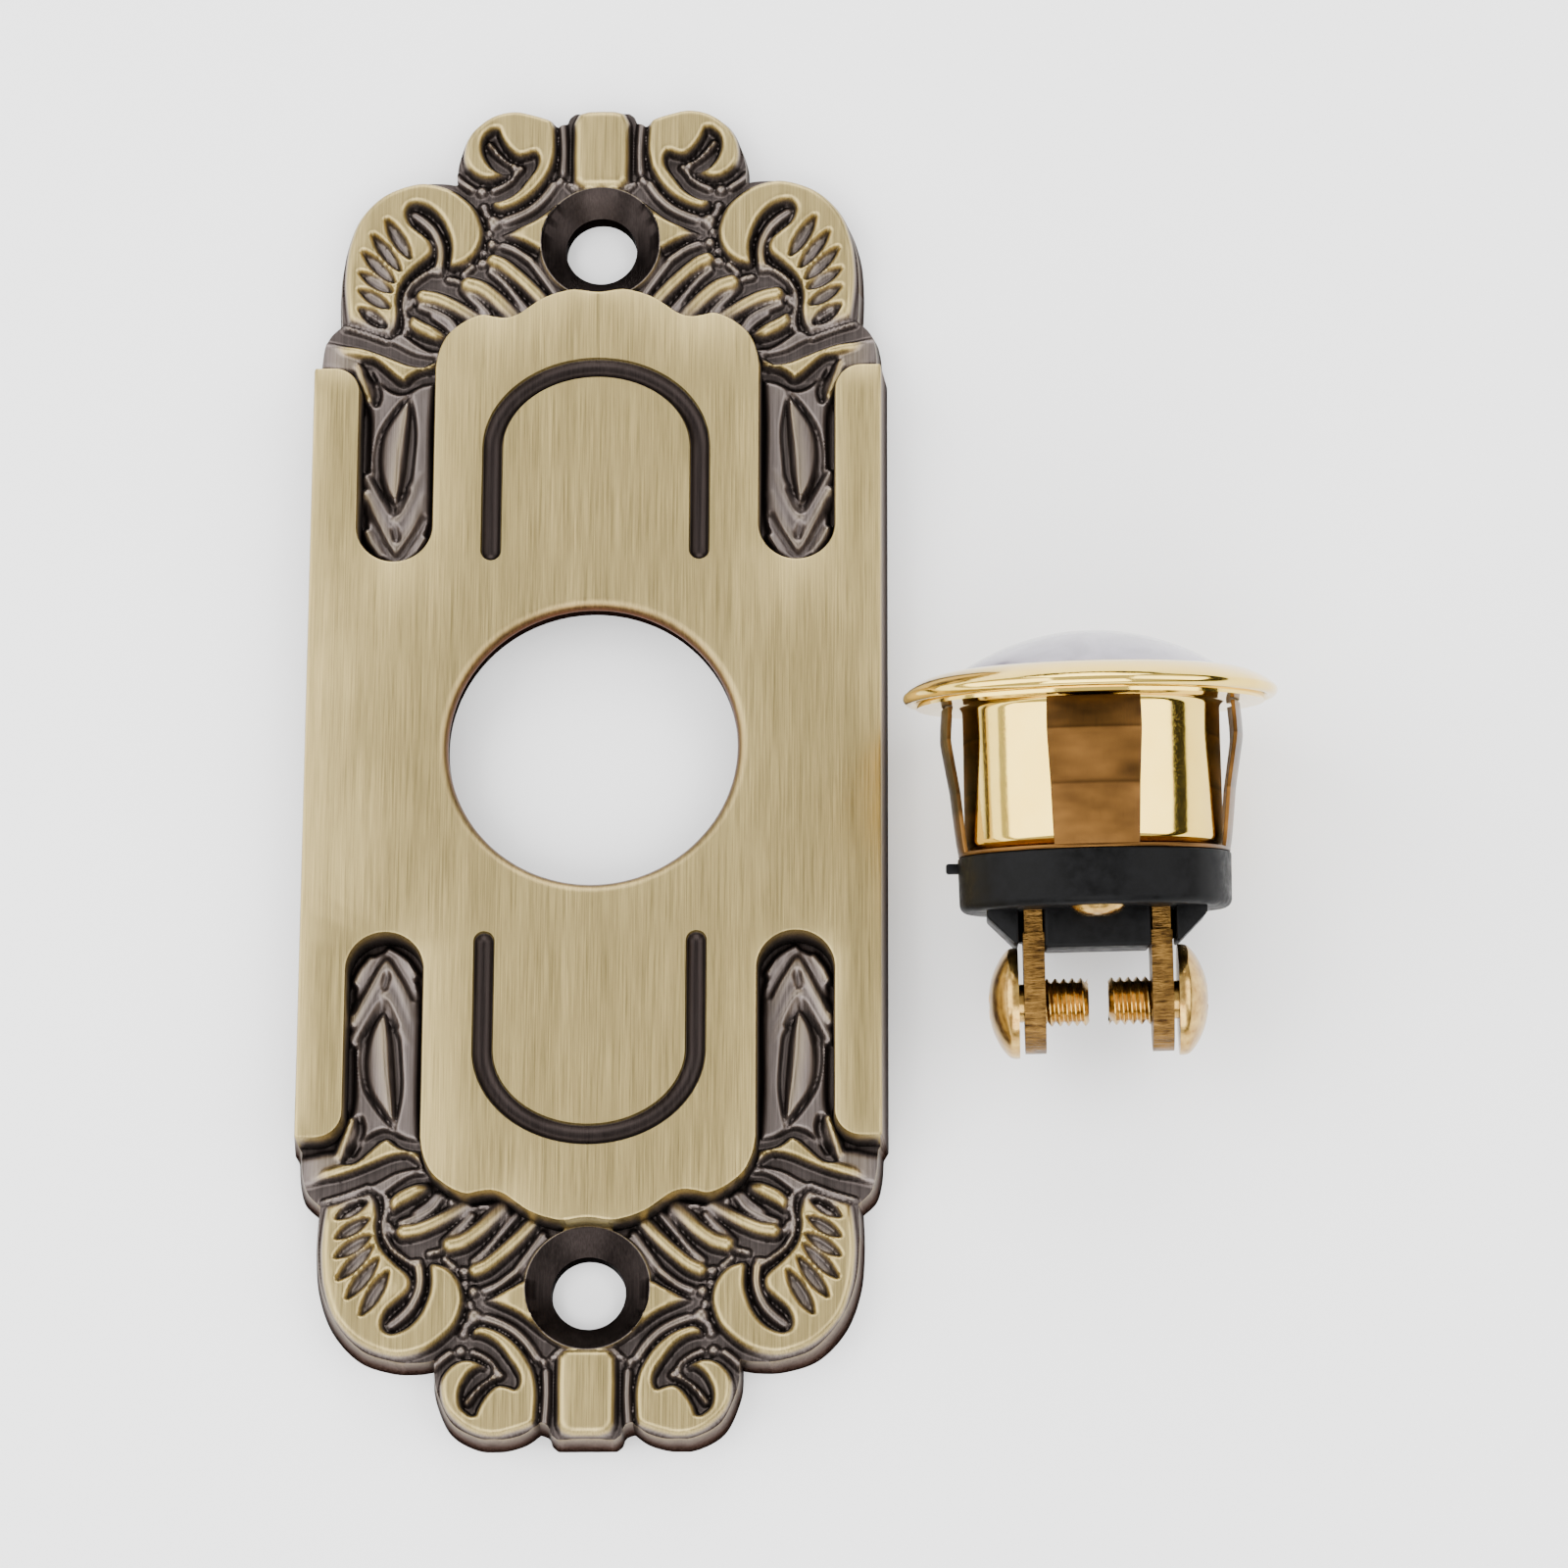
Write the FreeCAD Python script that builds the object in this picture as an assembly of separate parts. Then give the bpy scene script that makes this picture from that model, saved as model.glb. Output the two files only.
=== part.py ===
"""Doorbell push: a cast brass face plate, and the snap-in button unit lying beside it.

Frame in millimetres: origin on the plate's back face under its central hole,
+Y along the plate, +Z out of its face. The button unit is modelled upright on its
own axis (w = 0 at the middle of the flange's rolled rim) and then laid on its side.
"""
import FreeCAD
import Part
import math
import os
from FreeCAD import Vector

# Face plate
plate_length = 120.0
plate_width = 50.0
field_top = 6.0
ornament_top = 4.25
valley_top = 3.2
draft_inset = 0.45
hole_radius = 12.3
hole_edge_round = 1.0
side_bar_width = 4.0
side_bar_corner = 2.3
slot_width = 6.5
slot_inner_end = 16.66
bar_end_inset = 25.5
groove_width = 1.68
groove_depth = 0.8
groove_to_slot = 5.11
groove_leg_inset = 33.1
groove_arch_rise = 7.4
screw_inset = 13.1
screw_hole_radius = 3.1
countersink_radius = 5.15
countersink_top = 3.75
casting_wall = 2.1
shallow_pocket = 1.4
rim_width = 2.6
boss_radius = 7.2
pocket_corner = 5.0
pocket_side_wall = 1.15

# The crest at each end is drawn on a plate of this size and moves out with its ends
drawn_width = 50.0
drawn_length = 120.0
drawing_unit = 1.0
chords_per_span = 2
flute_radius = 0.42
flute_depth = 0.45
bead_radius = 0.46
leaf_depth = 2.6

# Bezel, barrel and clip
sheet = 0.5
flange_overlap = 3.35
rim_bead_radius = 0.55
lip_overlap = 0.75
barrel_gap = 1.55
barrel_depth = 13.1
barrel_corner = 0.8
flare_drop = 0.4
clip_sheet = 0.35
snap_bite = 0.3
arm_width = 7.8
arm_count = 4
arm_bulge_depth = 3.0
arm_crease_depth = 7.1
arm_top_gap = 0.1

# Base moulding, terminals and fasteners
base_ring_radius = 11.4
base_ring_height = 4.6
base_corner = 0.8
boss_half_width = 9.1
boss_half_depth = 5.0
boss_height = 3.2
wing_height = 2.8
wing_chamfer = 2.3
terminal_spacing = 10.6
terminal_thickness = 1.75
terminal_width = 8.4
terminal_reach = 11.8
post_width = 5.0
post_thickness = 1.5
post_height = 1.8
terminal_notch_gap = 0.35
screw_thread_radius = 2.0
screw_axis_drop = 7.55
screw_head_radius = 4.6
screw_head_height = 2.5
screw_neck = 0.45
screw_neck_radius = 1.6
screw_protrusion = 3.6
rivet_offset = 8.1
rivet_head_radius = 2.2
rivet_head_height = 1.15
rivet_shank_radius = 1.1
rivet_tail_radius = 1.7
rivet_tail_height = 0.6
nub_reach = 1.0
nub_height = 0.85
nub_drop = 0.65

# Push cap, contact and spring
cap_travel = 1.0
cap_stop_gap = 0.15
cap_side_gap = 0.3
cap_rise = 3.4
cap_wall = 1.3
cap_flange_thickness = 0.55
cap_flange_overlap = 0.8
cap_skirt_depth = 3.0
stem_radius = 1.9
contact_gap = 1.1
contact_disc_radius = 7.0
contact_disc_thickness = 0.5
contact_pin_radius = 0.8
contact_pin_length = 2.2
contact_pin_head_radius = 1.4
contact_pin_head_height = 0.45
spring_radius = 2.15
spring_wire_radius = 0.22
spring_turns = 4.5
spring_runs_per_turn = 10
spring_well_radius = 2.7
spring_well_depth = 4.5
seat_gap = 0.05
insulation = 0.9

# Where the button unit lies beside the plate
unit_x = 42.1
unit_y = 0.9
unit_turn = 1.15

half_length = plate_length / 2
half_width = plate_width / 2
screw_y = half_length - screw_inset
bar_end = half_length - bar_end_inset
bar_outer = half_width - draft_inset
bar_inner = bar_outer - side_bar_width
field_half = bar_inner - slot_width
slot_x = field_half + slot_width / 2
drawn_field_half = 14.05

flange_radius = hole_radius + flange_overlap
barrel_radius = hole_radius - barrel_gap
arm_radius = hole_radius + snap_bite
barrel_inner = barrel_radius - sheet
rim_ring = flange_radius - rim_bead_radius
base_top = -barrel_depth - clip_sheet
base_bottom = base_top - base_ring_height
terminal_x = terminal_spacing / 2
screw_w = base_bottom - screw_axis_drop
floor_top = -barrel_depth + sheet
post_top = floor_top + post_height
disc_bottom = post_top + contact_gap
disc_top = disc_bottom + contact_disc_thickness
well_bottom = base_top - spring_well_depth
lip_radius = barrel_radius + lip_overlap - cap_side_gap / 2
cap_radius = lip_radius - cap_side_gap
cap_flange_low = cap_travel + cap_stop_gap - flare_drop
cap_flange_top = cap_flange_low + cap_flange_thickness
cap_flange_radius = cap_radius + cap_flange_overlap + cap_side_gap
lip_low = cap_flange_top + seat_gap
flare_low = -flare_drop - sheet
arm_top = flare_low - arm_top_gap
lip_height = lip_low + sheet


# Drawing helpers

def end_height(y):
    """A height in the crest's drawing, moved out with the plate's end."""
    return y * drawing_unit + (plate_length - drawn_length) / 2


def crest(x, y):
    """A point of the crest's drawing, moved out with the plate's end and sides."""
    return Vector(x * drawing_unit * plate_width / drawn_width, end_height(y), 0)


def on_field(x, y):
    """A point of the field's outline, which follows the field's own width."""
    return Vector(x * drawing_unit * field_half / drawn_field_half, end_height(y), 0)


def in_slot(x, y):
    """A point of the leaves in a slot, drawn from the slot's middle line."""
    return Vector(slot_x + x * drawing_unit, end_height(y), 0)


def chords(points):
    """A smooth curve through the points, drawn as a few straight chords between each two."""
    if len(points) == 2:
        return points
    curve = Part.BSplineCurve()
    curve.interpolate(Points=points)
    return curve.discretize(Number=chords_per_span * (len(points) - 1) + 1)


def closed(runs):
    """A closed wire from runs of points, each starting where the one before it ended."""
    corners = [p for run in runs for p in chords(run)[:-1]]
    return Part.makePolygon(corners + corners[:1])


def outline(strokes, place=crest):
    return closed([[place(x, y) for x, y in points] for points in strokes])


def prism(wire, low, high):
    face = Part.Face(wire)
    face.translate(Vector(0, 0, low))
    return face.extrude(Vector(0, 0, high - low))


def box(x0, x1, y0, y1, z0, z1):
    return Part.makeBox(x1 - x0, y1 - y0, z1 - z0, Vector(x0, y0, z0))


def both_sides(shape, normal):
    return [shape, shape.mirror(Vector(0, 0, 0), normal)]


def all_quarters(shapes):
    """The shapes of one quarter, repeated in the other three."""
    right = [part for shape in shapes for part in both_sides(shape, Vector(1, 0, 0))]
    return [part for shape in right for part in both_sides(shape, Vector(0, 1, 0))]


def tapered(start, end, half_width, levels):
    """A bar with pointed ends between two points, as (share of the width, height) levels."""
    a = crest(*start)
    b = crest(*end)
    along = (b - a).normalize()
    across = Vector(-along.y, along.x, 0)
    rings = []
    for share, z in levels:
        w = half_width * share
        ring = [a - along * w, a + across * w, b + across * w, b + along * w, b - across * w, a - across * w]
        rings.append(Part.makePolygon([Vector(p.x, p.y, z) for p in ring + ring[:1]]))
    return Part.makeLoft(rings, True, True)


def stud(x, y, radius, z):
    """A small faceted bead standing on the level z."""
    centre = crest(x, y)
    rings = []
    for share, height in ((1.0, -0.1), (0.85, 0.45), (0.4, 0.8)):
        ring = [centre + Vector(math.cos(k * math.pi / 3), math.sin(k * math.pi / 3), 0) * (radius * share)
                for k in range(6)]
        rings.append(Part.makePolygon([Vector(p.x, p.y, z + radius * height) for p in ring + ring[:1]]))
    return Part.makeLoft(rings, True, True)


def bend(centre, radius, first, last, steps):
    """Points (r, w) along a round corner, from one angle to another in degrees."""
    angles = [math.radians(first + (last - first) * k / steps) for k in range(steps + 1)]
    return [(centre[0] + radius * math.cos(a), centre[1] + radius * math.sin(a)) for a in angles]


def turned(points, angle=360.0):
    """A body turned about the unit's axis from its (radius, w) profile."""
    corners = [Vector(r, 0, w) for r, w in points]
    face = Part.Face(Part.makePolygon(corners + corners[:1]))
    return face.revolve(Vector(0, 0, 0), Vector(0, 0, 1), angle)


def disc(radius, low, high, x=0.0, y=0.0):
    return Part.makeCylinder(radius, high - low, Vector(x, y, low))


# Face plate

def plate_quarter_strokes(inset):
    """The outside edge of one quarter, from the middle of the side to the end's middle."""
    side = (half_width - inset) / half_width
    end = (half_length - inset) / half_length
    runs = [
        [crest(24.6, 35.2), crest(24.45, 37.2), crest(24.0, 38.8), crest(22.9, 39.9)],
        [crest(22.9, 39.9), crest(23.0, 43.0), crest(22.7, 46.5), crest(21.5, 49.8),
         crest(19.2, 52.3), crest(16.4, 53.3), crest(14.2, 53.4), crest(12.9, 53.2)],
        [crest(12.9, 53.2), crest(12.75, 55.5), crest(11.5, 58.4), crest(9.3, 59.8),
         crest(7.2, 60.0), crest(5.2, 59.5), crest(3.9, 58.6)],
        [crest(3.9, 58.6), crest(3.2, 58.9), crest(2.9, 59.6), crest(2.4, 60.0)],
    ]
    corner = Vector(half_width, bar_end, 0)
    runs.insert(0, [corner, runs[0][0]])
    return [[Vector(p.x * side, p.y * end, 0) for p in run] for run in runs]


def plate_outline(inset, z):
    quarter = plate_quarter_strokes(inset)
    runs = []
    for sx, sy, backwards in ((1, 1, False), (-1, 1, True), (-1, -1, False), (1, -1, True)):
        turn = [[Vector(p.x * sx, p.y * sy, z) for p in run] for run in quarter]
        if backwards:
            turn = [run[::-1] for run in turn[::-1]]
        if runs:
            runs.append([runs[-1][-1], turn[0][0]])
        runs.extend(turn)
    runs.append([runs[-1][-1], runs[0][0]])
    return closed(runs)


def plate_blank():
    """The full silhouette with its casting draft."""
    low = plate_outline(0.0, 0.0)
    high = plate_outline(draft_inset, field_top)
    return Part.makeLoft([low, high], True, True)


def field_prism():
    """The flat field between the slots, with its scalloped ends."""
    right = [(14.05, 34.5), (13.9, 35.5), (13.55, 36.6), (12.6, 38.0), (11.2, 39.0), (9.9, 39.35),
             (8.9, 39.2), (8.0, 39.1), (7.0, 39.4), (5.6, 40.45), (4.4, 41.1), (3.0, 41.5),
             (1.8, 41.62), (0.0, 41.45)]
    edge = chords([on_field(x, y) for x, y in right])
    edge += [Vector(-p.x, p.y, 0) for p in edge[-2::-1]]
    corners = [Vector(edge[0].x, 0, 0)] + edge + [Vector(edge[-1].x, 0, 0)]
    half = prism(Part.makePolygon(corners + corners[:1]), 0, field_top)
    return half.fuse(half.mirror(Vector(0, 0, 0), Vector(0, 1, 0)))


def side_bar():
    """One flat bar beside the slots, its inner corners rounded at both ends."""
    bar = box(bar_inner, half_width + 1, -bar_end, bar_end, 0, field_top)
    corners = [edge for edge in bar.Edges
               if abs(edge.CenterOfMass.x - bar_inner) < 0.01 and abs(edge.CenterOfMass.y) > 1
               and edge.Length > field_top - 0.01 and edge.BoundBox.ZLength > 1]
    return bar.makeFillet(side_bar_corner, corners)


def middle_band():
    """The solid band round the central hole, between the slots' rounded inner ends."""
    reach = slot_inner_end + slot_width / 2
    band = box(-half_width - 1, half_width + 1, -reach, reach, 0, field_top)
    ends = [disc(slot_width / 2, -1, field_top + 1, slot_x, reach)]
    return band.cut(all_quarters(ends))


def groove_outline(half, z):
    """The U of one groove at one level: two legs along the field and an arch over its end."""
    x = field_half - groove_to_slot
    leg_top = half_length - groove_leg_inset
    foot = slot_inner_end + groove_width / 2
    edges = []
    for way, reach in ((1, x + half), (-1, x - half)):
        rise = groove_arch_rise + way * half
        centre = Vector(0, leg_top, z)
        if rise <= reach:
            curve = Part.Ellipse(centre + Vector(reach, 0, 0), centre + Vector(0, rise, 0), centre)
            edges.append(curve.toShape(0, math.pi))
        else:
            curve = Part.Ellipse(centre + Vector(0, rise, 0), centre + Vector(-reach, 0, 0), centre)
            edges.append(curve.toShape(-math.pi / 2, math.pi / 2))
        edges.append(Part.makeLine(Vector(reach, foot, z), Vector(reach, leg_top, z)))
        edges.append(Part.makeLine(Vector(-reach, foot, z), Vector(-reach, leg_top, z)))
    for side in (-1, 1):
        edges.append(Part.Arc(Vector(side * (x - half), foot, z), Vector(side * x, foot - half, z),
                              Vector(side * (x + half), foot, z)).toShape())
    return Part.Wire(Part.__sortEdges__(edges))


def groove():
    """The U groove of one end, narrower at its floor than at its mouth."""
    half = groove_width / 2
    mouth = prism(groove_outline(half, 0), field_top - groove_depth / 2, field_top + 1)
    floor = prism(groove_outline(half * 0.62, 0), field_top - groove_depth, field_top)
    return mouth.fuse(floor)


def comb_scroll():
    """The large scroll at each corner, with six flutes fanning across it."""
    wire = outline([
        [(22.1, 39.8), (22.4, 43.0), (22.2, 46.3), (21.1, 49.6), (18.5, 52.0), (15.2, 52.8),
         (12.3, 51.6), (10.4, 49.0), (10.4, 46.7), (11.6, 45.1), (13.0, 44.55)],
        [(13.0, 44.55), (13.3, 44.8)],
        [(13.3, 44.8), (13.2, 46.5), (14.0, 49.0), (15.3, 50.35), (16.8, 50.3)],
        [(16.8, 50.3), (16.5, 48.8), (14.9, 47.3), (14.6, 46.3), (15.8, 44.8), (17.2, 43.2),
         (17.55, 41.0), (18.3, 38.4)],
        [(18.3, 38.4), (20.2, 38.95), (22.1, 39.8)],
    ])
    pad = prism(wire, valley_top - 0.1, ornament_top)
    flutes = [((18.7, 49.0), (16.9, 45.9)), ((19.9, 47.6), (17.8, 44.8)), ((20.7, 46.0), (18.3, 43.6)),
              ((20.9, 44.1), (18.5, 42.6)), ((20.9, 42.5), (18.7, 41.1)), ((20.9, 40.8), (19.0, 39.6))]
    levels = ((1.2, ornament_top + 0.1), (0.5, ornament_top - flute_depth))
    return pad.cut([tapered(a, b, flute_radius, levels) for a, b in flutes])


def volute():
    """The curled leaf beside the end block: a hook round a comma-shaped eye."""
    wire = outline([
        [(4.05, 58.0), (3.95, 56.0), (4.4, 53.7), (5.8, 51.6), (7.7, 50.25), (9.5, 50.4)],
        [(9.5, 50.4), (9.6, 51.0)],
        [(9.6, 51.0), (8.0, 51.4), (6.4, 53.2), (5.65, 54.9), (6.5, 55.15), (7.8, 55.3),
         (8.8, 56.6), (9.2, 57.6)],
        [(9.2, 57.6), (9.5, 57.6)],
        [(9.5, 57.6), (10.4, 56.2), (9.9, 54.6), (8.8, 53.75), (7.9, 53.75)],
        [(7.9, 53.75), (8.8, 53.2), (10.6, 53.0), (12.0, 54.3), (12.05, 56.4), (11.0, 58.1),
         (8.8, 59.4), (6.3, 59.3), (4.6, 58.75), (4.05, 58.0)],
    ])
    return prism(wire, valley_top - 0.1, ornament_top)


def end_block():
    """The cushion-shaped block in the middle of each end."""
    low = crest(0, 52.0).y
    high = crest(0, 60.5).y
    reach = crest(2.55, 0).x
    block = box(-reach, reach, low, high, valley_top - 0.1, ornament_top)
    edges = [edge for edge in block.Edges if edge.BoundBox.ZMin > ornament_top - 0.01
             and edge.BoundBox.YMin < high - 0.01]
    return block.makeFillet(0.6, edges)


def fan():
    """The three-cornered web between the countersink and the reeds."""
    return prism(outline([
        [(8.8, 47.9), (7.6, 48.4), (6.2, 48.9), (5.2, 49.5), (4.3, 50.6)],
        [(4.3, 50.6), (3.6, 49.0), (3.6, 46.6), (4.9, 46.1)],
        [(4.9, 46.1), (6.6, 46.8), (8.8, 47.9)],
    ]), valley_top - 0.1, ornament_top - 0.1)


def wing():
    """The band across the collar, which dips to a point over the slot."""
    return prism(outline([
        [(25.5, 38.6), (22.5, 37.9), (20.0, 37.2), (17.9, 36.1), (16.0, 35.6), (14.9, 35.9), (14.1, 36.5)],
        [(14.1, 36.5), (14.1, 35.1)],
        [(14.1, 35.1), (15.5, 34.8), (16.9, 33.9)],
        [(16.9, 33.9), (17.9, 34.5), (19.2, 35.8), (20.6, 36.0)],
        [(20.6, 36.0), (22.6, 35.3), (25.5, 35.1)],
        [(25.5, 35.1), (25.5, 38.6)],
    ]), valley_top - 0.1, ornament_top - 0.15)


def husk_leaf():
    """The slender pointed leaf lying in the slot."""
    wire = outline([
        [(-1.05, 33.0), (0.25, 31.3), (1.35, 28.8), (1.55, 26.6), (0.95, 24.4), (0.15, 23.2)],
        [(0.15, 23.2), (-0.35, 25.2), (-0.45, 27.6), (-0.65, 30.0), (-1.05, 33.0)],
    ], in_slot)
    return prism(wire, valley_top - 0.1, ornament_top - 0.2)


def slot_leaves():
    """Overlapping leaf tips that point at the slot's rounded end, each a step lower."""
    tips = []
    for tip_y, arm_y, half, top in ((21.2, 25.4, 2.3, 3.85), (19.0, 23.0, 2.4, 3.65),
                                    (17.5, 20.6, 2.3, 3.45)):
        wire = outline([
            [(0, tip_y), (half, arm_y)],
            [(half, arm_y), (0, tip_y + leaf_depth)],
            [(0, tip_y + leaf_depth), (-half, arm_y)],
            [(-half, arm_y), (0, tip_y)],
        ], in_slot)
        tips.append(prism(wire, valley_top - 0.1, top))
    return tips


def reeds():
    """Round bars that run from the scroll down to the field's scalloped end."""
    bars = [((9.0, 45.0), (5.3, 41.7), 0.68), ((9.2, 44.1), (6.5, 41.0), 0.33),
            ((11.2, 42.9), (7.6, 40.9), 0.7), ((11.9, 42.3), (10.2, 41.1), 0.4),
            ((15.2, 42.1), (10.9, 40.3), 0.62), ((15.4, 41.2), (12.6, 39.6), 0.35),
            ((15.9, 39.6), (14.0, 38.5), 0.75), ((8.2, 46.6), (6.5, 45.5), 0.28),
            ((5.4, 44.9), (4.0, 42.6), 0.35), ((21.0, 39.0), (18.9, 38.0), 0.25)]
    solids = []
    for a, b, radius in bars:
        top = valley_top + radius * 1.4
        levels = ((1.0, valley_top - 0.1), (0.9, valley_top + radius * 0.8), (0.45, top))
        solids.append(tapered(a, b, radius, levels))
    return solids


def beads():
    """Small beads strung between the scrolls."""
    spots = [(9.4, 49.2), (9.5, 47.1), (10.4, 45.3), (11.6, 44.6), (12.9, 43.7), (14.4, 44.5),
             (12.2, 52.6), (10.3, 52.3), (7.8, 54.4)]
    return [stud(x, y, bead_radius, valley_top) for x, y in spots]


def pocket():
    """The hollow back: deep under the field, shallow under the crests and slots."""
    reach = field_half - pocket_side_wall
    end = bar_end
    deep = box(-reach, reach, -end, end, -1, field_top - casting_wall)
    uprights = [edge for edge in deep.Edges if edge.BoundBox.ZLength > 1]
    deep = deep.makeFillet(pocket_corner, uprights)
    shallow = prism(plate_outline(rim_width, 0.0), -1, shallow_pocket)
    hollow = deep.fuse(shallow)
    bosses = [disc(boss_radius, -2, field_top, 0, side * screw_y) for side in (-1, 1)]
    return hollow.cut(bosses)


def face_plate():
    slab = box(-half_width - 1, half_width + 1, -half_length - 1, half_length + 1, 0, valley_top)
    quarter = [comb_scroll(), volute(), fan(), wing(), husk_leaf()]
    quarter += slot_leaves() + reeds() + beads()
    block = end_block()
    raised = all_quarters(quarter) + both_sides(block, Vector(0, 1, 0))
    relief = slab.fuse(raised + [middle_band(), field_prism()] + both_sides(side_bar(), Vector(1, 0, 0)))
    plate = relief.common(plate_blank())
    cuts = [disc(hole_radius, -1, field_top + 1), pocket()]
    u_groove = groove()
    cuts += both_sides(u_groove, Vector(0, 1, 0))
    for side in (-1, 1):
        seat = Part.makeCone(screw_hole_radius, countersink_radius,
                             countersink_radius - screw_hole_radius,
                             Vector(0, side * screw_y, countersink_top
                                    - countersink_radius + screw_hole_radius))
        cuts.append(seat)
        cuts.append(disc(countersink_radius, countersink_top, field_top + 1, 0, side * screw_y))
        cuts.append(disc(screw_hole_radius, -1, countersink_top, 0, side * screw_y))
    plate = plate.cut(cuts)
    rounding = bend((hole_radius + hole_edge_round, field_top - hole_edge_round), hole_edge_round, 90, 180, 3)
    plate = plate.cut(turned(rounding + [(hole_radius - 0.5, field_top - hole_edge_round),
                                         (hole_radius - 0.5, field_top + 0.5),
                                         (hole_radius + hole_edge_round, field_top + 0.5)]))
    return plate.removeSplitter()


# Button unit, upright on its own axis

def bezel_ring():
    """Spun bezel: a rolled rim, a convex rise and an inturned lip."""
    rise = (rim_ring + lip_radius) / 2
    outer = [(rise - 1.2, lip_height - 0.05), (rise + 0.35, lip_height * 0.84),
             (rise + 1.35, lip_height * 0.55)]
    inner = [(r - sheet * 0.45, w - sheet) for r, w in outer[:0:-1]]
    rim = bend((rim_ring, 0), rim_bead_radius, 60, -180, 4)
    return turned([(lip_radius, lip_low), (lip_radius, lip_height - 0.2), (lip_radius + 0.3, lip_height)]
                  + outer + rim + inner + [(cap_flange_radius + 0.2, lip_low)])


def barrel():
    """Deep-drawn cup whose open end is flared and held inside the bezel's rolled rim."""
    flare = rim_ring - rim_bead_radius - seat_gap
    low = -barrel_depth
    corner = bend((barrel_radius - barrel_corner, low + barrel_corner), barrel_corner, -90, 0, 2)
    cup = turned([(0, low)] + corner + [(barrel_radius, flare_low), (flare, flare_low), (flare, -flare_drop),
                                        (barrel_inner, -flare_drop), (barrel_inner, floor_top),
                                        (0, floor_top)])
    return cup.cut(floor_openings(low - 1, floor_top + 1))


def floor_openings(low, high):
    """What passes through the cup's floor and the clip: posts, rivets and the spring's well."""
    gap = insulation + seat_gap
    reach_x = post_thickness / 2 + gap
    reach_y = post_width / 2 + gap
    holes = [disc(spring_well_radius + gap, low, high)]
    for side in (-1, 1):
        x = side * terminal_x
        holes.append(box(x - reach_x, x + reach_x, -reach_y, reach_y, low, high))
        holes.append(disc(rivet_shank_radius + seat_gap, low, high, 0, side * rivet_offset))
    return holes


def snap_clip():
    """One stamped spring: a plate under the cup and curved arms folded up round it."""
    low = base_top
    plate = disc(base_ring_radius, low, low + clip_sheet)
    t = clip_sheet
    crease = base_ring_radius + 0.1
    profile = [
        (base_ring_radius, low), (crease, -arm_crease_depth), (arm_radius, -arm_bulge_depth),
        (arm_radius - 0.15, arm_top), (arm_radius - 0.15 - t, arm_top),
        (arm_radius - t, -arm_bulge_depth), (crease - t, -arm_crease_depth), (base_ring_radius - t, low),
    ]
    span = 2 * math.degrees(math.asin(arm_width / 2 / arm_radius))
    arms = []
    for index in range(arm_count):
        arm = turned(profile, span)
        arm.rotate(Vector(0, 0, 0), Vector(0, 0, 1), index * 360 / arm_count - span / 2)
        arms.append(arm)
    clip = plate.fuse(arms)
    return clip.cut(floor_openings(low - 1, low + clip_sheet + 0.01)).removeSplitter()


def base_moulding():
    """Moulded base: ring, tapered boss with terminal notches, and insulating collars."""
    ring = turned([(0, base_top), (base_ring_radius, base_top), (base_ring_radius, base_bottom + base_corner),
                   (base_ring_radius - base_corner * 0.75, base_bottom), (0, base_bottom)])
    low = base_bottom - boss_height
    wing_low = base_bottom - wing_height
    inner = terminal_x - terminal_thickness / 2 - seat_gap
    outer = terminal_x + terminal_thickness / 2 + terminal_notch_gap
    core = box(-inner, inner, -boss_half_depth, boss_half_depth, low, base_bottom)
    corners = [Vector(outer, -boss_half_depth, base_bottom),
               Vector(boss_half_width, -boss_half_depth, base_bottom),
               Vector(boss_half_width, -boss_half_depth, wing_low + wing_chamfer),
               Vector(boss_half_width - wing_chamfer, -boss_half_depth, wing_low),
               Vector(outer, -boss_half_depth, wing_low)]
    side = Part.Face(Part.makePolygon(corners + corners[:1]))
    wing_block = side.extrude(Vector(0, 2 * boss_half_depth, 0))
    parts = [core] + both_sides(wing_block, Vector(1, 0, 0))
    collar_x = post_thickness / 2 + insulation
    collar_y = post_width / 2 + insulation
    for way in (-1, 1):
        x = way * terminal_x
        parts.append(box(x - collar_x, x + collar_x, -collar_y, collar_y, base_top, floor_top + 0.5))
    parts.append(disc(spring_well_radius + insulation, base_top, floor_top + 0.5))
    nub_top = base_top - nub_drop
    parts.append(box(-base_ring_radius - nub_reach, -base_ring_radius + 0.5, -0.6, 0.6,
                     nub_top - nub_height, nub_top))
    body = ring.fuse(parts)
    cuts = [disc(spring_well_radius, well_bottom, floor_top + 1)]
    for way in (-1, 1):
        x = way * terminal_x
        half_x = post_thickness / 2 + seat_gap
        half_y = post_width / 2 + seat_gap
        cuts.append(box(x - half_x, x + half_x, -half_y, half_y, base_bottom - 1, floor_top + 1))
        cuts.append(disc(rivet_shank_radius + seat_gap, base_bottom - 1, base_top + 1, 0, way * rivet_offset))
    return body.cut(cuts)


def terminal(way):
    """Flat brass tab with a rounded end and a post that stands up inside the cup."""
    x = way * terminal_x
    half_t = terminal_thickness / 2
    low = base_bottom - terminal_reach
    centre = low + terminal_width / 2
    tab = box(x - half_t, x + half_t, -terminal_width / 2, terminal_width / 2, centre, base_bottom)
    end = Part.makeCylinder(terminal_width / 2, terminal_thickness, Vector(x - half_t, 0, centre),
                            Vector(1, 0, 0))
    post = box(x - post_thickness / 2, x + post_thickness / 2, -post_width / 2, post_width / 2,
               base_bottom, post_top)
    hole = Part.makeCylinder(screw_thread_radius + seat_gap, 2 * terminal_thickness,
                             Vector(x - terminal_thickness, 0, screw_w), Vector(1, 0, 0))
    return tab.fuse([end, post]).cut(hole).removeSplitter()


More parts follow.
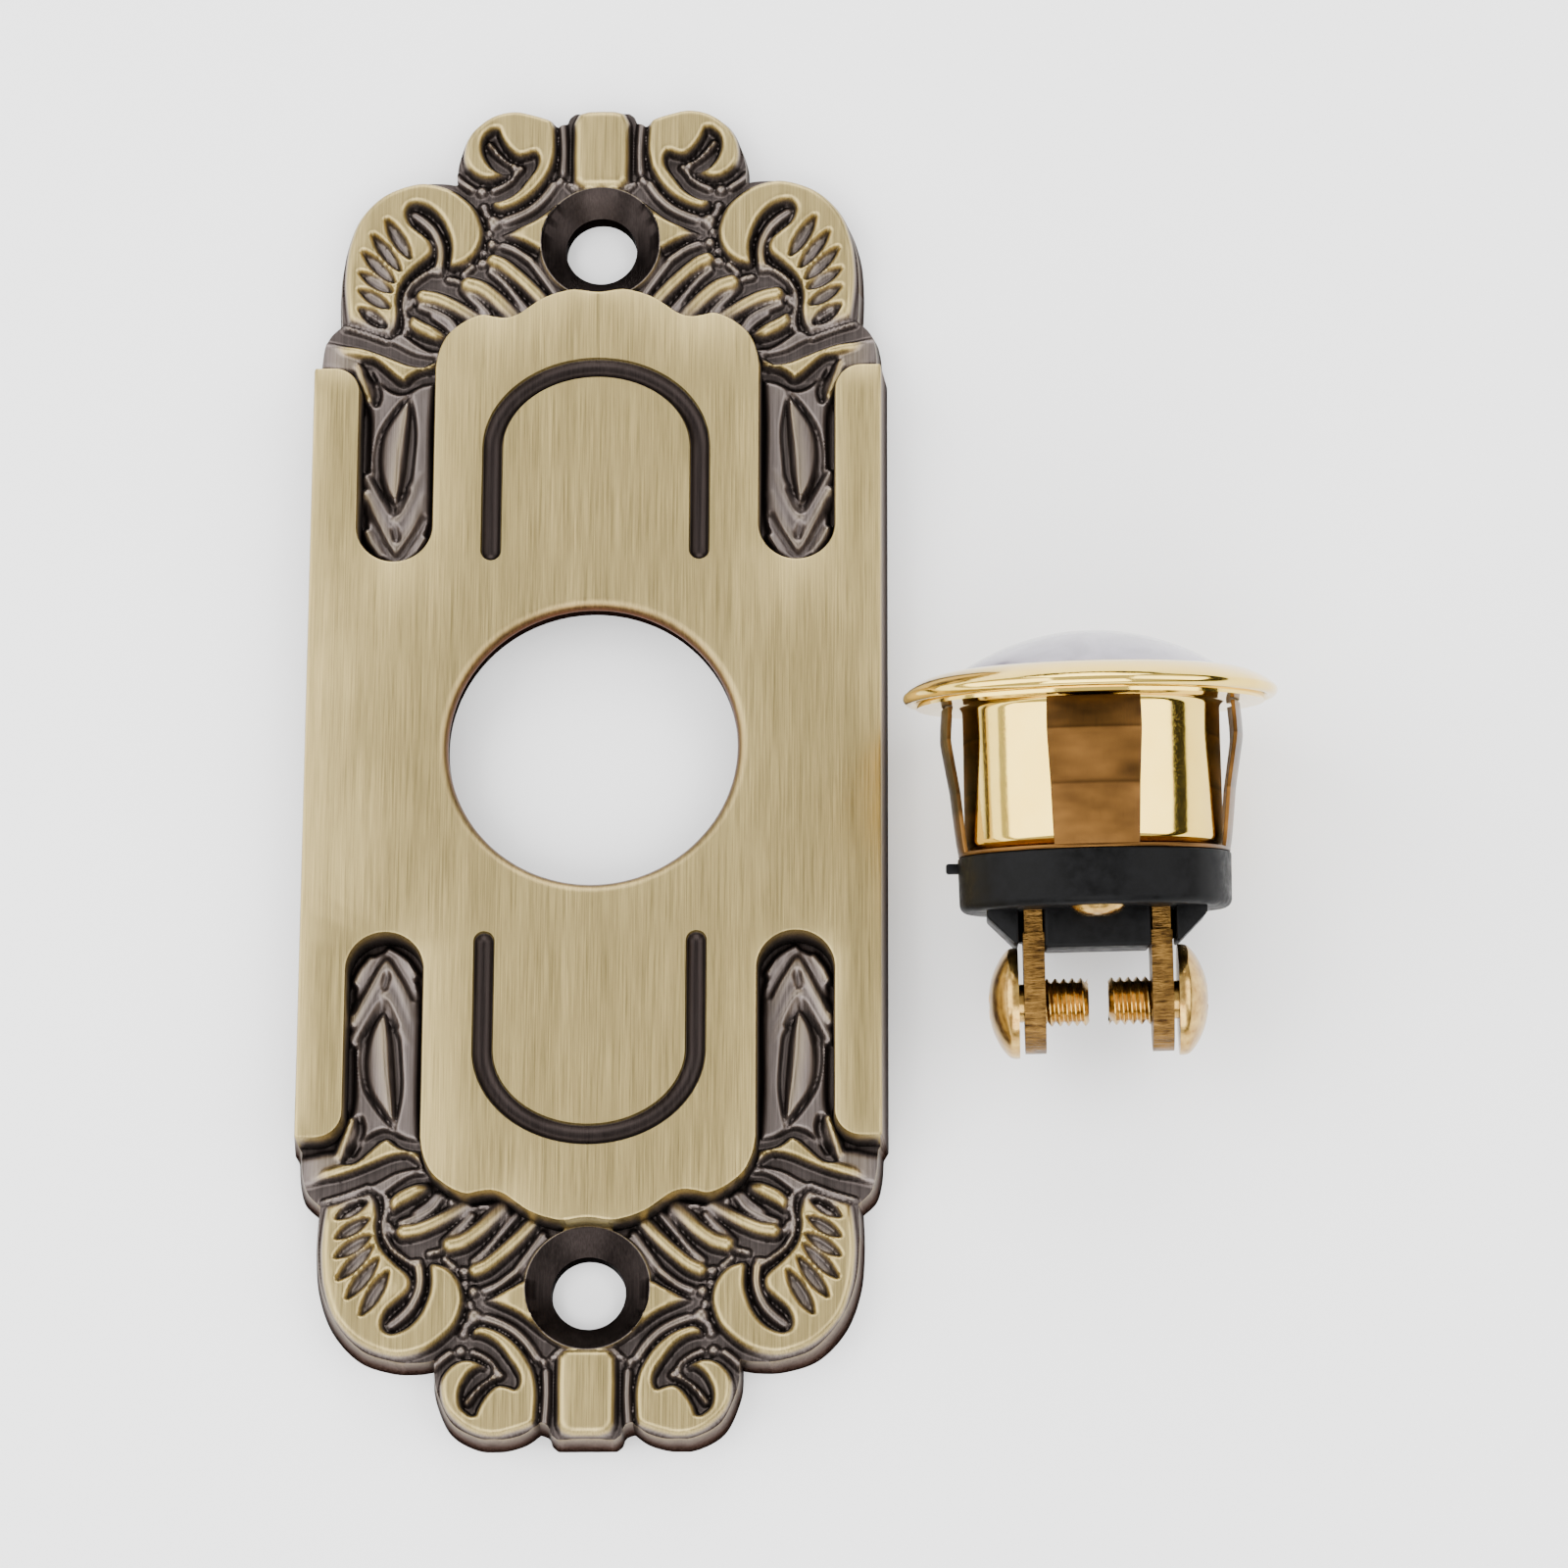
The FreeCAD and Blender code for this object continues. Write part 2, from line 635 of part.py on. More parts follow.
def terminal_screw(way):
    """Truss-head screw through the tab, its tip pointing at the other one."""
    face = terminal_x + terminal_thickness / 2
    under = face + screw_neck
    tip = terminal_x - terminal_thickness / 2 - screw_protrusion
    r = screw_head_radius
    dome = [(0, 1.0), (0.65, 1.0), (1.4, 0.84), (2.1, 0.55), (screw_head_height, 0.18),
            (screw_head_height, 0)]
    head = [Vector(under, 0, 0)] + [Vector(under + h, r * share, 0) for h, share in dome]
    screw = Part.Face(Part.makePolygon(head + head[:1])).revolve(Vector(0, 0, 0), Vector(1, 0, 0), 360)
    shank = Part.makeCylinder(screw_thread_radius, face - tip, Vector(tip, 0, 0), Vector(1, 0, 0))
    tip_edge = [edge for edge in shank.Edges if edge.BoundBox.XMax < tip + 0.01]
    shank = shank.makeChamfer(0.3, tip_edge)
    neck = Part.makeCylinder(screw_neck_radius, screw_neck, Vector(face, 0, 0), Vector(1, 0, 0))
    screw = screw.fuse([shank, neck]).removeSplitter()
    if way < 0:
        screw = screw.mirror(Vector(0, 0, 0), Vector(1, 0, 0))
    screw.translate(Vector(0, 0, screw_w))
    return screw


def rivet(way):
    """Dome-headed rivet under the base, spread over the cup's floor inside."""
    r = rivet_head_radius
    low = base_bottom - rivet_head_height
    tail = floor_top + rivet_tail_height
    body = turned([(0, low), (r * 0.45, low), (r * 0.85, low + rivet_head_height * 0.45), (r, base_bottom),
                   (rivet_shank_radius, base_bottom), (rivet_shank_radius, floor_top),
                   (rivet_tail_radius, floor_top), (rivet_tail_radius - 0.2, tail), (0, tail)])
    body.translate(Vector(0, way * rivet_offset, 0))
    return body


def push_cap():
    """Moulded cap: a shallow dome, a flange under the lip, a guide skirt and a stem."""
    skirt_radius = barrel_inner - cap_side_gap
    edge = lip_height + 0.1
    top = edge + cap_rise
    dome = ((cap_radius ** 2) + cap_rise ** 2) / (2 * cap_rise)
    half_angle = math.degrees(math.asin(cap_radius / dome))
    crown = bend((0, top - dome), dome, 90, 90 - half_angle, 3)
    flange = cap_flange_radius
    skirt_in = skirt_radius - cap_wall
    bore = contact_pin_radius + seat_gap
    bore_top = disc_top + contact_pin_length + seat_gap
    return turned(crown + [
        (cap_radius, cap_flange_top), (flange, cap_flange_top), (flange, cap_flange_low),
        (skirt_radius, cap_flange_low), (skirt_radius, -cap_skirt_depth), (skirt_in, -cap_skirt_depth),
        (skirt_in, edge - cap_wall), (stem_radius, top - cap_wall * 1.3), (stem_radius, disc_top),
        (bore, disc_top), (bore, bore_top), (0, bore_top),
    ])


def contact_disc():
    """Brass washer under the stem that bridges the two posts when pressed."""
    washer = disc(contact_disc_radius, disc_bottom, disc_top)
    return washer.cut(disc(contact_pin_radius + seat_gap, disc_bottom - 1, disc_top + 1))


def contact_pin():
    """Headed pin that holds the contact disc to the stem."""
    head = disc(contact_pin_head_radius, disc_bottom - contact_pin_head_height, disc_bottom)
    shank = disc(contact_pin_radius, disc_bottom, disc_top + contact_pin_length)
    return head.fuse(shank).removeSplitter()


def return_spring():
    """Coil spring between the floor of the base's well and the contact disc."""
    low = well_bottom + spring_wire_radius
    high = disc_bottom - spring_wire_radius
    steps = round(spring_turns * spring_runs_per_turn)
    route = []
    for k in range(steps + 1):
        turn = 2 * math.pi * k / spring_runs_per_turn
        route.append(Vector(spring_radius * math.cos(turn), spring_radius * math.sin(turn),
                            low + (high - low) * k / steps))
    section = [Vector(spring_radius + spring_wire_radius * math.cos(k * math.pi / 3), 0,
                      low + spring_wire_radius * math.sin(k * math.pi / 3)) for k in range(6)]
    wire = Part.makePolygon(section + section[:1])
    return Part.makePolygon(route).makePipeShell([wire], True, True, 1)


def resting_tilt():
    """The angle at which the rolled rim and the base ring both touch the table."""
    return math.atan2(flange_radius - base_ring_radius, -(base_bottom + base_corner))


def laid_down(shape):
    """Turn the upright unit onto its side, in its place beside the plate."""
    tilt = resting_tilt()
    height = flange_radius * math.cos(tilt)
    placed = shape.copy()
    placed.rotate(Vector(0, 0, 0), Vector(1, 0, 0), math.degrees(tilt) - 90)
    placed.rotate(Vector(0, 0, 0), Vector(0, 0, 1), unit_turn)
    placed.translate(Vector(unit_x, unit_y, height))
    return placed


def main():
    unit = {
        "bezel_ring": bezel_ring(),
        "barrel": barrel(),
        "snap_clip": snap_clip(),
        "base_moulding": base_moulding(),
        "terminal_left": terminal(-1),
        "terminal_right": terminal(1),
        "terminal_screw_left": terminal_screw(-1),
        "terminal_screw_right": terminal_screw(1),
        "rivet_front": rivet(-1),
        "rivet_back": rivet(1),
        "push_cap": push_cap(),
        "contact_disc": contact_disc(),
        "contact_pin": contact_pin(),
        "return_spring": return_spring(),
    }
    nodes = {"face_plate": face_plate()}
    for name, shape in unit.items():
        nodes[name] = laid_down(shape)
    os.makedirs("parts", exist_ok=True)
    for name, shape in nodes.items():
        shape.exportStep(os.path.join("parts", name + ".step"))
        box_of = shape.BoundBox
        print(name, "solids", len(shape.Solids), "valid", shape.isValid(), "volume", round(shape.Volume, 2),
              "z", round(box_of.ZMin, 3), round(box_of.ZMax, 3))


main()
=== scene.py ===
"""The doorbell push as it lies on the table: an antique brass face plate and,
beside it, the snap-in button unit on its side. Lengths below are in millimetres
and are turned into metres as each piece is made."""

import math

import bmesh
import bpy
import numpy as np
from mathutils import Matrix, Vector
from mathutils.geometry import delaunay_2d_cdt


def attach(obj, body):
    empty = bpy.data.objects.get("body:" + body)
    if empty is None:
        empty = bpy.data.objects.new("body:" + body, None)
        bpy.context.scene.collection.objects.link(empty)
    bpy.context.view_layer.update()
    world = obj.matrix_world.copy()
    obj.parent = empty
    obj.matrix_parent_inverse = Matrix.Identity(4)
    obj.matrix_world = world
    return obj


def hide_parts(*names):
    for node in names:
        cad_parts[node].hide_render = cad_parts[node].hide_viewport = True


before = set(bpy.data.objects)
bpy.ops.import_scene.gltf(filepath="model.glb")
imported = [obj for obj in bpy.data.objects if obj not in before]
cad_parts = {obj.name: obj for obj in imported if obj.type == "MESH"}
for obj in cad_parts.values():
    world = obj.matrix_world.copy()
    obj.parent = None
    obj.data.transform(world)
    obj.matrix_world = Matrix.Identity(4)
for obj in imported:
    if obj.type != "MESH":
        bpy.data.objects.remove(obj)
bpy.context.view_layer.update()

MM = 0.001

# Where the button unit lies: on its rolled rim and the rounded low edge of its base ring
RIM_R = 15.65
CAP_R = 11.05
RING_R = 11.4
RING_ROUND = 0.8
BASE_DEPTH = 18.05
TILT = math.atan2(RIM_R - RING_R, BASE_DEPTH - RING_ROUND)
UNIT_TURN = math.radians(1.15)
UNIT_PLACE = Vector((42.1, 0.9, RIM_R * math.cos(TILT))) * MM
UNIT_ANGLES = (TILT - math.pi / 2, 0.0, UNIT_TURN)
UNIT = Matrix.LocRotScale(UNIT_PLACE, Matrix.Rotation(UNIT_TURN, 3, "Z")
                          @ Matrix.Rotation(TILT - math.pi / 2, 3, "X"), None)

# Heights along the unit's own axis, 0 at the middle of the rolled rim
BARREL_LOW = -13.1
BASE_TOP = -13.45
BASE_LOW = -BASE_DEPTH
SCREW_W = -25.6
FLOOR_TOP = -12.6
DISC_TOP = -9.2
POST_TOP = -10.8

# The terminal tabs: how far each stands out, its thickness, its round end and its reach below the base
TAB_X = 5.3
TAB_THICK = 1.75
TAB_R = 4.2
TAB_REACH = 11.8


# Hand tools

def clear_choice():
    """Nothing is selected, in object mode: every step starts from here."""
    active = bpy.context.view_layer.objects.active
    if active is not None and active.mode != "OBJECT":
        bpy.ops.object.mode_set(mode="OBJECT")
    bpy.ops.object.select_all(action="DESELECT")


def take(piece):
    """Only this piece is selected and active."""
    clear_choice()
    piece.select_set(True)
    bpy.context.view_layer.objects.active = piece
    return piece


def named(name):
    """Name the piece just made."""
    piece = bpy.context.active_object
    piece.name = name
    piece.data.name = name
    return piece


def choose(piece, test, kind="FACE"):
    """In edit mode, select only the faces or edges that pass the test."""
    bpy.ops.mesh.select_mode(type=kind)
    bpy.ops.mesh.select_all(action="DESELECT")
    mesh = bmesh.from_edit_mesh(piece.data)
    for part in (mesh.faces if kind == "FACE" else mesh.edges):
        part.select_set(test(part))
    bmesh.update_edit_mesh(piece.data)


def modify(piece, kind, **settings):
    """Add a modifier, set it and apply it."""
    take(piece)
    made = piece.modifiers.new(kind.title(), kind)
    for key, value in settings.items():
        setattr(made, key, value)
    bpy.ops.object.modifier_apply(modifier=made.name)
    return piece


def arc(r, w, radius, first, last, steps):
    """Points (radius, height) round a corner, from one angle to another in degrees."""
    angles = np.radians(np.linspace(first, last, steps + 1))
    return [(r + radius * math.cos(a), w + radius * math.sin(a)) for a in angles]


def through(points, steps):
    """A smooth profile through a few points."""
    rows = [points[0]] + list(points) + [points[-1]]
    curve = []
    for four in zip(rows, rows[1:], rows[2:], rows[3:]):
        for k in range(steps):
            t = k / steps
            curve.append(tuple(
                0.5 * (2 * b + (c - a) * t + (2 * a - 5 * b + 4 * c - d) * t ** 2
                       + (3 * b - a - 3 * c + d) * t ** 3) for a, b, c, d in zip(*four)))
    return curve + [tuple(points[-1])]


def lathe(name, profile, steps=128, angle=360.0):
    """Draw a profile point by point in the XZ plane and spin it about the axis."""
    clear_choice()
    bpy.ops.mesh.primitive_plane_add(size=MM, location=(0, 0, 0))
    piece = named(name)
    bpy.ops.object.mode_set(mode="EDIT")
    bpy.ops.mesh.select_mode(type="VERT")
    bpy.ops.mesh.merge(type="CENTER")
    bpy.ops.transform.translate(value=(profile[0][0] * MM, 0, profile[0][1] * MM))
    for (r0, w0), (r1, w1) in zip(profile, profile[1:]):
        bpy.ops.mesh.extrude_region_move(
            TRANSFORM_OT_translate={"value": ((r1 - r0) * MM, 0, (w1 - w0) * MM)})
    bpy.ops.mesh.select_all(action="SELECT")
    bpy.ops.mesh.spin(steps=steps, angle=math.radians(angle), center=(0, 0, 0), axis=(0, 0, 1))
    bpy.ops.mesh.select_all(action="SELECT")
    bpy.ops.mesh.remove_doubles(threshold=0.002 * MM)
    if angle < 360.0:
        choose(piece, lambda edge: edge.is_boundary, "EDGE")
        bpy.ops.mesh.edge_face_add()
        bpy.ops.mesh.select_all(action="SELECT")
    bpy.ops.mesh.normals_make_consistent(inside=False)
    bpy.ops.object.mode_set(mode="OBJECT")
    return piece


def block(name, low, high, bevel=0.0, segments=3):
    """A box between two corners with its edges rounded."""
    middle = [(a + b) / 2 * MM for a, b in zip(low, high)]
    clear_choice()
    bpy.ops.mesh.primitive_cube_add(size=1.0, location=middle)
    piece = named(name)
    piece.scale = [(b - a) * MM for a, b in zip(low, high)]
    bpy.ops.object.transform_apply(location=True, rotation=True, scale=True)
    if bevel:
        modify(piece, "BEVEL", width=bevel * MM, segments=segments, limit_method="ANGLE")
    return piece


def joined(name, pieces):
    """Several shapes that touch become one piece."""
    take(pieces[0])
    for other in pieces[1:]:
        other.select_set(True)
    bpy.ops.object.join()
    return named(name)


def cut_by(piece, cutters):
    """Cut a piece with others, which are then deleted."""
    for cutter in cutters:
        modify(piece, "BOOLEAN", operation="DIFFERENCE", solver="EXACT", object=cutter)
        take(cutter)
        bpy.ops.object.delete()
    return piece


def smooth(piece, angle=32.0):
    """Shade smooth, apart from edges sharper than the angle."""
    take(piece)
    bpy.ops.object.shade_smooth_by_angle(angle=math.radians(angle))
    return piece


def settle(piece, body, material, nodes=(), local=Matrix(), in_unit=True):
    """Put a piece in its place in the unit, give it its material and fix it to its body."""
    take(piece)
    piece.matrix_world = (UNIT @ local) if in_unit else local
    bpy.ops.object.transform_apply(location=True, rotation=True, scale=True)
    if not piece.data.materials:
        piece.data.materials.append(material)
    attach(piece, body)
    if nodes:
        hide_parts(*nodes)
    return piece


# Finishes

def linear(code):
    """An sRGB hex colour as linear values."""
    shares = [int(code[k:k + 2], 16) / 255 for k in (1, 3, 5)]
    return [s / 12.92 if s <= 0.04045 else ((s + 0.055) / 1.055) ** 2.4 for s in shares] + [1.0]


def add(tree, kind, settings=None, links=None):
    """One node with its settings, by attribute, input or stops, and what is linked into it."""
    made = tree.nodes.new(kind)
    for key, value in (settings or {}).items():
        if key == "stops":
            stops = made.color_ramp.elements
            for k, (place, colour) in enumerate(value):
                stop = stops[k] if k < 2 else stops.new(place)
                stop.position = place
                stop.color = linear(colour) if isinstance(colour, str) else colour
        elif isinstance(key, str) and hasattr(made, key):
            setattr(made, key, value)
        else:
            made.inputs[key].default_value = value
    for key, source in (links or {}).items():
        tree.links.new(source, made.inputs[key])
    return made


def finish(name, shader):
    """A material with one shader, given as its settings; links are added by its maker."""
    made = bpy.data.materials.new(name)
    made.use_nodes = True
    tree = made.node_tree
    tree.nodes.clear()
    surface = add(tree, "ShaderNodeBsdfPrincipled", shader)
    add(tree, "ShaderNodeOutputMaterial", links={"Surface": surface.outputs[0]})
    return made, tree, surface


def feed(tree, surface, sources):
    """Link the last node of each chain into the shader."""
    for key, source in sources.items():
        tree.links.new(source.outputs[0], surface.inputs[key])


def unit_place(tree, stretch=(1.0, 1.0, 1.0)):
    """Object coordinates turned upright with the unit, in millimetres, then stretched."""
    spot = add(tree, "ShaderNodeTexCoord")
    upright = add(tree, "ShaderNodeMapping", {"vector_type": "TEXTURE", "Location": UNIT_PLACE,
                                              "Rotation": UNIT_ANGLES},
                  {"Vector": spot.outputs["Object"]})
    return add(tree, "ShaderNodeMapping", {"Scale": [s / MM for s in stretch]},
               {"Vector": upright.outputs[0]}).outputs[0]


def antique_brass():
    """Plated casting, blackened and brushed back: grained high faces, grey slopes, and near-black hollows
    whose patina is deepened by painted shade.
    """
    made, tree, surface = finish("antique_brushed_brass_casting", {"Metallic": 1.0})
    spot = add(tree, "ShaderNodeTexCoord")
    tone = add(tree, "ShaderNodeAttribute", {"attribute_name": "tone"})
    # black patina in the hollows, plus painted shade in tight hollows and along the foot of the field's
    # wall
    patina_and_shade = add(tree, "ShaderNodeAttribute", {"attribute_name": "patina_and_shade"})
    burn = add(tree, "ShaderNodeAttribute", {"attribute_name": "burn"})
    # hairlines 0.1 mm apart and some 8 mm long, and broader bands of the same brush
    grain_place = add(tree, "ShaderNodeMapping", {"Scale": (9.0 / MM, 0.12 / MM, 3.0 / MM)},
                      {"Vector": spot.outputs["Object"]})
    grain = add(tree, "ShaderNodeTexNoise", {"Scale": 1.0, "Detail": 5.0, "Roughness": 0.7},
                {"Vector": grain_place.outputs[0]})
    band_place = add(tree, "ShaderNodeMapping", {"Scale": (0.7 / MM, 0.02 / MM, 0.7 / MM)},
                     {"Vector": spot.outputs["Object"]})
    band = add(tree, "ShaderNodeTexNoise", {"Scale": 1.0, "Detail": 3.0, "Roughness": 0.6},
               {"Vector": band_place.outputs[0]})
    cloud_place = add(tree, "ShaderNodeMapping", {"Scale": (1 / MM, 0.4 / MM, 1 / MM)},
                      {"Vector": spot.outputs["Object"]})
    cloud = add(tree, "ShaderNodeTexNoise", {"Scale": 0.5, "Detail": 4.0, "Roughness": 0.6},
                {"Vector": cloud_place.outputs[0]})
    ragged = add(tree, "ShaderNodeMath", {"operation": "MULTIPLY_ADD", 1: 0.16},
                 {0: cloud.outputs["Fac"], 2: tone.outputs["Fac"]})
    shifted = add(tree, "ShaderNodeMath", {"operation": "SUBTRACT", 1: 0.08}, {0: ragged.outputs[0]})
    ramp = add(tree, "ShaderNodeValToRGB",
               {"stops": ((0.02, "#37302E"), (0.2, "#564E4B"), (0.45, "#6B625E"), (0.65, "#7A6F63"),
                          (0.82, "#928160"), (0.95, "#A39161"))}, {"Fac": shifted.outputs[0]})
    copper = add(tree, "ShaderNodeMix", {"data_type": "RGBA", "B": linear("#4E2C15")},
                 {"Factor": burn.outputs["Fac"], "A": ramp.outputs[0]})
    brushed = add(tree, "ShaderNodeMapRange",
                  {"From Min": 0.3, "From Max": 0.7, "To Min": 0.62, "To Max": 1.28},
                  {"Value": grain.outputs["Fac"]})
    banded = add(tree, "ShaderNodeMapRange",
                 {"From Min": 0.3, "From Max": 0.7, "To Min": 0.86, "To Max": 1.1},
                 {"Value": band.outputs["Fac"]})
    streaked = add(tree, "ShaderNodeMath", {"operation": "MULTIPLY"},
                   {0: brushed.outputs[0], 1: banded.outputs[0]})
    # hollows and wall feet darkened: patina with painted shade
    hollow = add(tree, "ShaderNodeMapRange",
                 {"From Min": 0.05, "From Max": 0.9, "To Min": 1.0, "To Max": 0.42},
                 {"Value": patina_and_shade.outputs["Fac"]})
    shade = add(tree, "ShaderNodeMath", {"operation": "MULTIPLY"},
                {0: streaked.outputs[0], 1: hollow.outputs[0]})
    colour = add(tree, "ShaderNodeVectorMath", {"operation": "SCALE"},
                 {0: copper.outputs["Result"], "Scale": shade.outputs[0]})
    # the black patina, deepened by painted shade, dulls the metal's shine at a flat angle, most of all in
    # the hollows
    rubbed = add(tree, "ShaderNodeMapRange",
                 {"From Min": 0.1, "From Max": 0.9, "To Min": 0.4, "To Max": 1.0},
                 {"Value": tone.outputs["Fac"]})
    dulled_by_patina_and_shade = add(tree, "ShaderNodeMapRange",
                 {"From Min": 0.0, "From Max": 0.8, "To Min": 1.0, "To Max": 0.3},
                 {"Value": patina_and_shade.outputs["Fac"]})
    sheen = add(tree, "ShaderNodeMath", {"operation": "MULTIPLY"},
                {0: rubbed.outputs[0], 1: dulled_by_patina_and_shade.outputs[0]})
    gloss = add(tree, "ShaderNodeMapRange",
                {"From Min": 0.3, "From Max": 0.7, "To Min": 0.34, "To Max": 0.48},
                {"Value": grain.outputs["Fac"]})
    bump = add(tree, "ShaderNodeBump", {"Strength": 0.4, "Distance": 0.02 * MM},
               {"Height": grain.outputs["Fac"]})
    feed(tree, surface, {"Base Color": colour, "Roughness": gloss, "Specular Tint": sheen, "Normal": bump})
    return made


def polished_brass():
    """Lacquered drawn brass: a clear mirror with the faint ripple of the press tool and hairline scuffs."""
    made, tree, surface = finish("lacquered_drawn_brass", {"Metallic": 1.0, "Coat Weight": 0.15,
                                                           "Coat Roughness": 0.04})
    spot = unit_place(tree)
    # ripples 3 mm across and scuffs of 0.2 mm
    ripple = add(tree, "ShaderNodeTexNoise", {"Scale": 0.35, "Detail": 3.0}, {"Vector": spot})
    speck = add(tree, "ShaderNodeTexNoise", {"Scale": 5.0, "Detail": 4.0, "Roughness": 0.65},
                {"Vector": spot})
    tone = add(tree, "ShaderNodeValToRGB", {"stops": ((0.0, "#E2BB50"), (1.0, "#EFD06C"))},
               {"Fac": ripple.outputs["Fac"]})
    gloss = add(tree, "ShaderNodeMapRange",
                {"From Min": 0.45, "From Max": 0.75, "To Min": 0.07, "To Max": 0.2},
                {"Value": speck.outputs["Fac"]})
    bump = add(tree, "ShaderNodeBump", {"Strength": 0.12, "Distance": 0.05 * MM},
               {"Height": ripple.outputs["Fac"]})
    fine = add(tree, "ShaderNodeBump", {"Strength": 0.1, "Distance": 0.01 * MM},
               {"Height": speck.outputs["Fac"], "Normal": bump.outputs[0]})
    feed(tree, surface, {"Base Color": tone, "Roughness": gloss, "Normal": fine})
    return made


def spring_bronze():
    """Cold-rolled spring bronze: duller and browner, with rolling lines along the arms, heat stains, and
    painted shade on the flats between its bend lines.
    """
    made, tree, surface = finish("rolled_spring_bronze", {"Metallic": 1.0})
    # rolling lines 0.15 mm apart and under 2 mm long, stains some 4 to 10 mm across
    lines = add(tree, "ShaderNodeTexNoise", {"Scale": 1.0, "Detail": 4.0, "Roughness": 0.6},
                {"Vector": unit_place(tree, (7.0, 7.0, 0.6))})
    stain = add(tree, "ShaderNodeTexNoise", {"Scale": 0.5, "Detail": 3.0, "Roughness": 0.5},
                {"Vector": unit_place(tree, (0.2, 0.2, 0.5))})
    tone = add(tree, "ShaderNodeValToRGB", {"stops": ((0.36, "#30200F"), (0.68, "#6C4B25"))},
               {"Fac": stain.outputs["Fac"]})
    # painted light and shade on the flats between the two cross bend lines, 8.1 and 3.7 mm below the rim:
    # each flat a different brightness, with painted dark lines at the bend lines
    height = add(tree, "ShaderNodeSeparateXYZ", links={"Vector": unit_place(tree)})
    level = add(tree, "ShaderNodeMapRange", {"From Min": -14.0, "From Max": 0.0},
                {"Value": height.outputs["Z"]})
    shares = ((0.0, 1.15), (0.405, 1.3), (0.42, 0.55), (0.44, 0.85), (0.7, 0.8), (0.73, 1.05),
              (0.742, 0.4), (0.76, 0.62), (1.0, 0.7))
    painted_flat_shading = add(tree, "ShaderNodeValToRGB",
                {"stops": [(place, (share, share, share, 1)) for place, share in shares]},
                {"Fac": level.outputs[0]})
    # the heat stains times the painted shading of the flats
    stains_and_flat_shading = add(tree, "ShaderNodeVectorMath", {"operation": "MULTIPLY"},
                  {0: tone.outputs[0], 1: painted_flat_shading.outputs[0]})
    gloss = add(tree, "ShaderNodeMapRange", {"To Min": 0.2, "To Max": 0.5}, {"Value": lines.outputs["Fac"]})
    bump = add(tree, "ShaderNodeBump", {"Strength": 0.25, "Distance": 0.02 * MM},
               {"Height": lines.outputs["Fac"]})
    feed(tree, surface, {"Base Color": stains_and_flat_shading, "Roughness": gloss, "Normal": bump})
    return made


def phenolic():
    """Compression-moulded black phenolic: dull, with rub marks and dust that catch the light."""
    made, tree, surface = finish("black_moulded_phenolic", {"IOR": 1.5, "Specular IOR Level": 0.06})
    spot = unit_place(tree)
    # rubbed patches about 1 mm across and the mould's grit of 0.1 mm
    cloud = add(tree, "ShaderNodeTexNoise", {"Scale": 0.8, "Detail": 6.0, "Roughness": 0.65},
                {"Vector": spot})
    grit = add(tree, "ShaderNodeTexNoise", {"Scale": 9.0, "Detail": 2.0}, {"Vector": spot})
    tone = add(tree, "ShaderNodeValToRGB", {"stops": ((0.4, "#070707"), (0.75, "#121213"))},
               {"Fac": cloud.outputs["Fac"]})
    gloss = add(tree, "ShaderNodeMapRange",
                {"From Min": 0.35, "From Max": 0.7, "To Min": 0.34, "To Max": 0.6},
                {"Value": cloud.outputs["Fac"]})
    bump = add(tree, "ShaderNodeBump", {"Strength": 0.3, "Distance": 0.015 * MM},
               {"Height": grit.outputs["Fac"]})
    feed(tree, surface, {"Base Color": tone, "Roughness": gloss, "Normal": bump})
    return made


def pearl():
    """Injection-moulded pearl acrylic: milky, faintly lilac, with a hard gloss over soft light inside."""
    made, tree, surface = finish("pearl_acrylic", {"IOR": 1.49, "Roughness": 0.12, "Coat Weight": 0.5,
                                                   "Coat Roughness": 0.03, "Subsurface Weight": 0.35,
                                                   "Subsurface Radius": (1.0, 0.9, 1.0),
                                                   "Subsurface Scale": 1.2 * MM})
    spot = unit_place(tree)
    # swirls 5 mm across and pearl flakes of 0.07 mm
    swirl = add(tree, "ShaderNodeTexNoise", {"Scale": 0.18, "Detail": 3.0, "Distortion": 1.2},
                {"Vector": spot})
    flake = add(tree, "ShaderNodeTexNoise", {"Scale": 14.0, "Detail": 1.0}, {"Vector": spot})
    tone = add(tree, "ShaderNodeValToRGB", {"stops": ((0.35, "#7B7581"), (0.7, "#958F9B"))},
               {"Fac": swirl.outputs["Fac"]})
    bump = add(tree, "ShaderNodeBump", {"Strength": 0.05, "Distance": 0.01 * MM},
               {"Height": flake.outputs["Fac"]})
    feed(tree, surface, {"Base Color": tone, "Normal": bump})
    return made


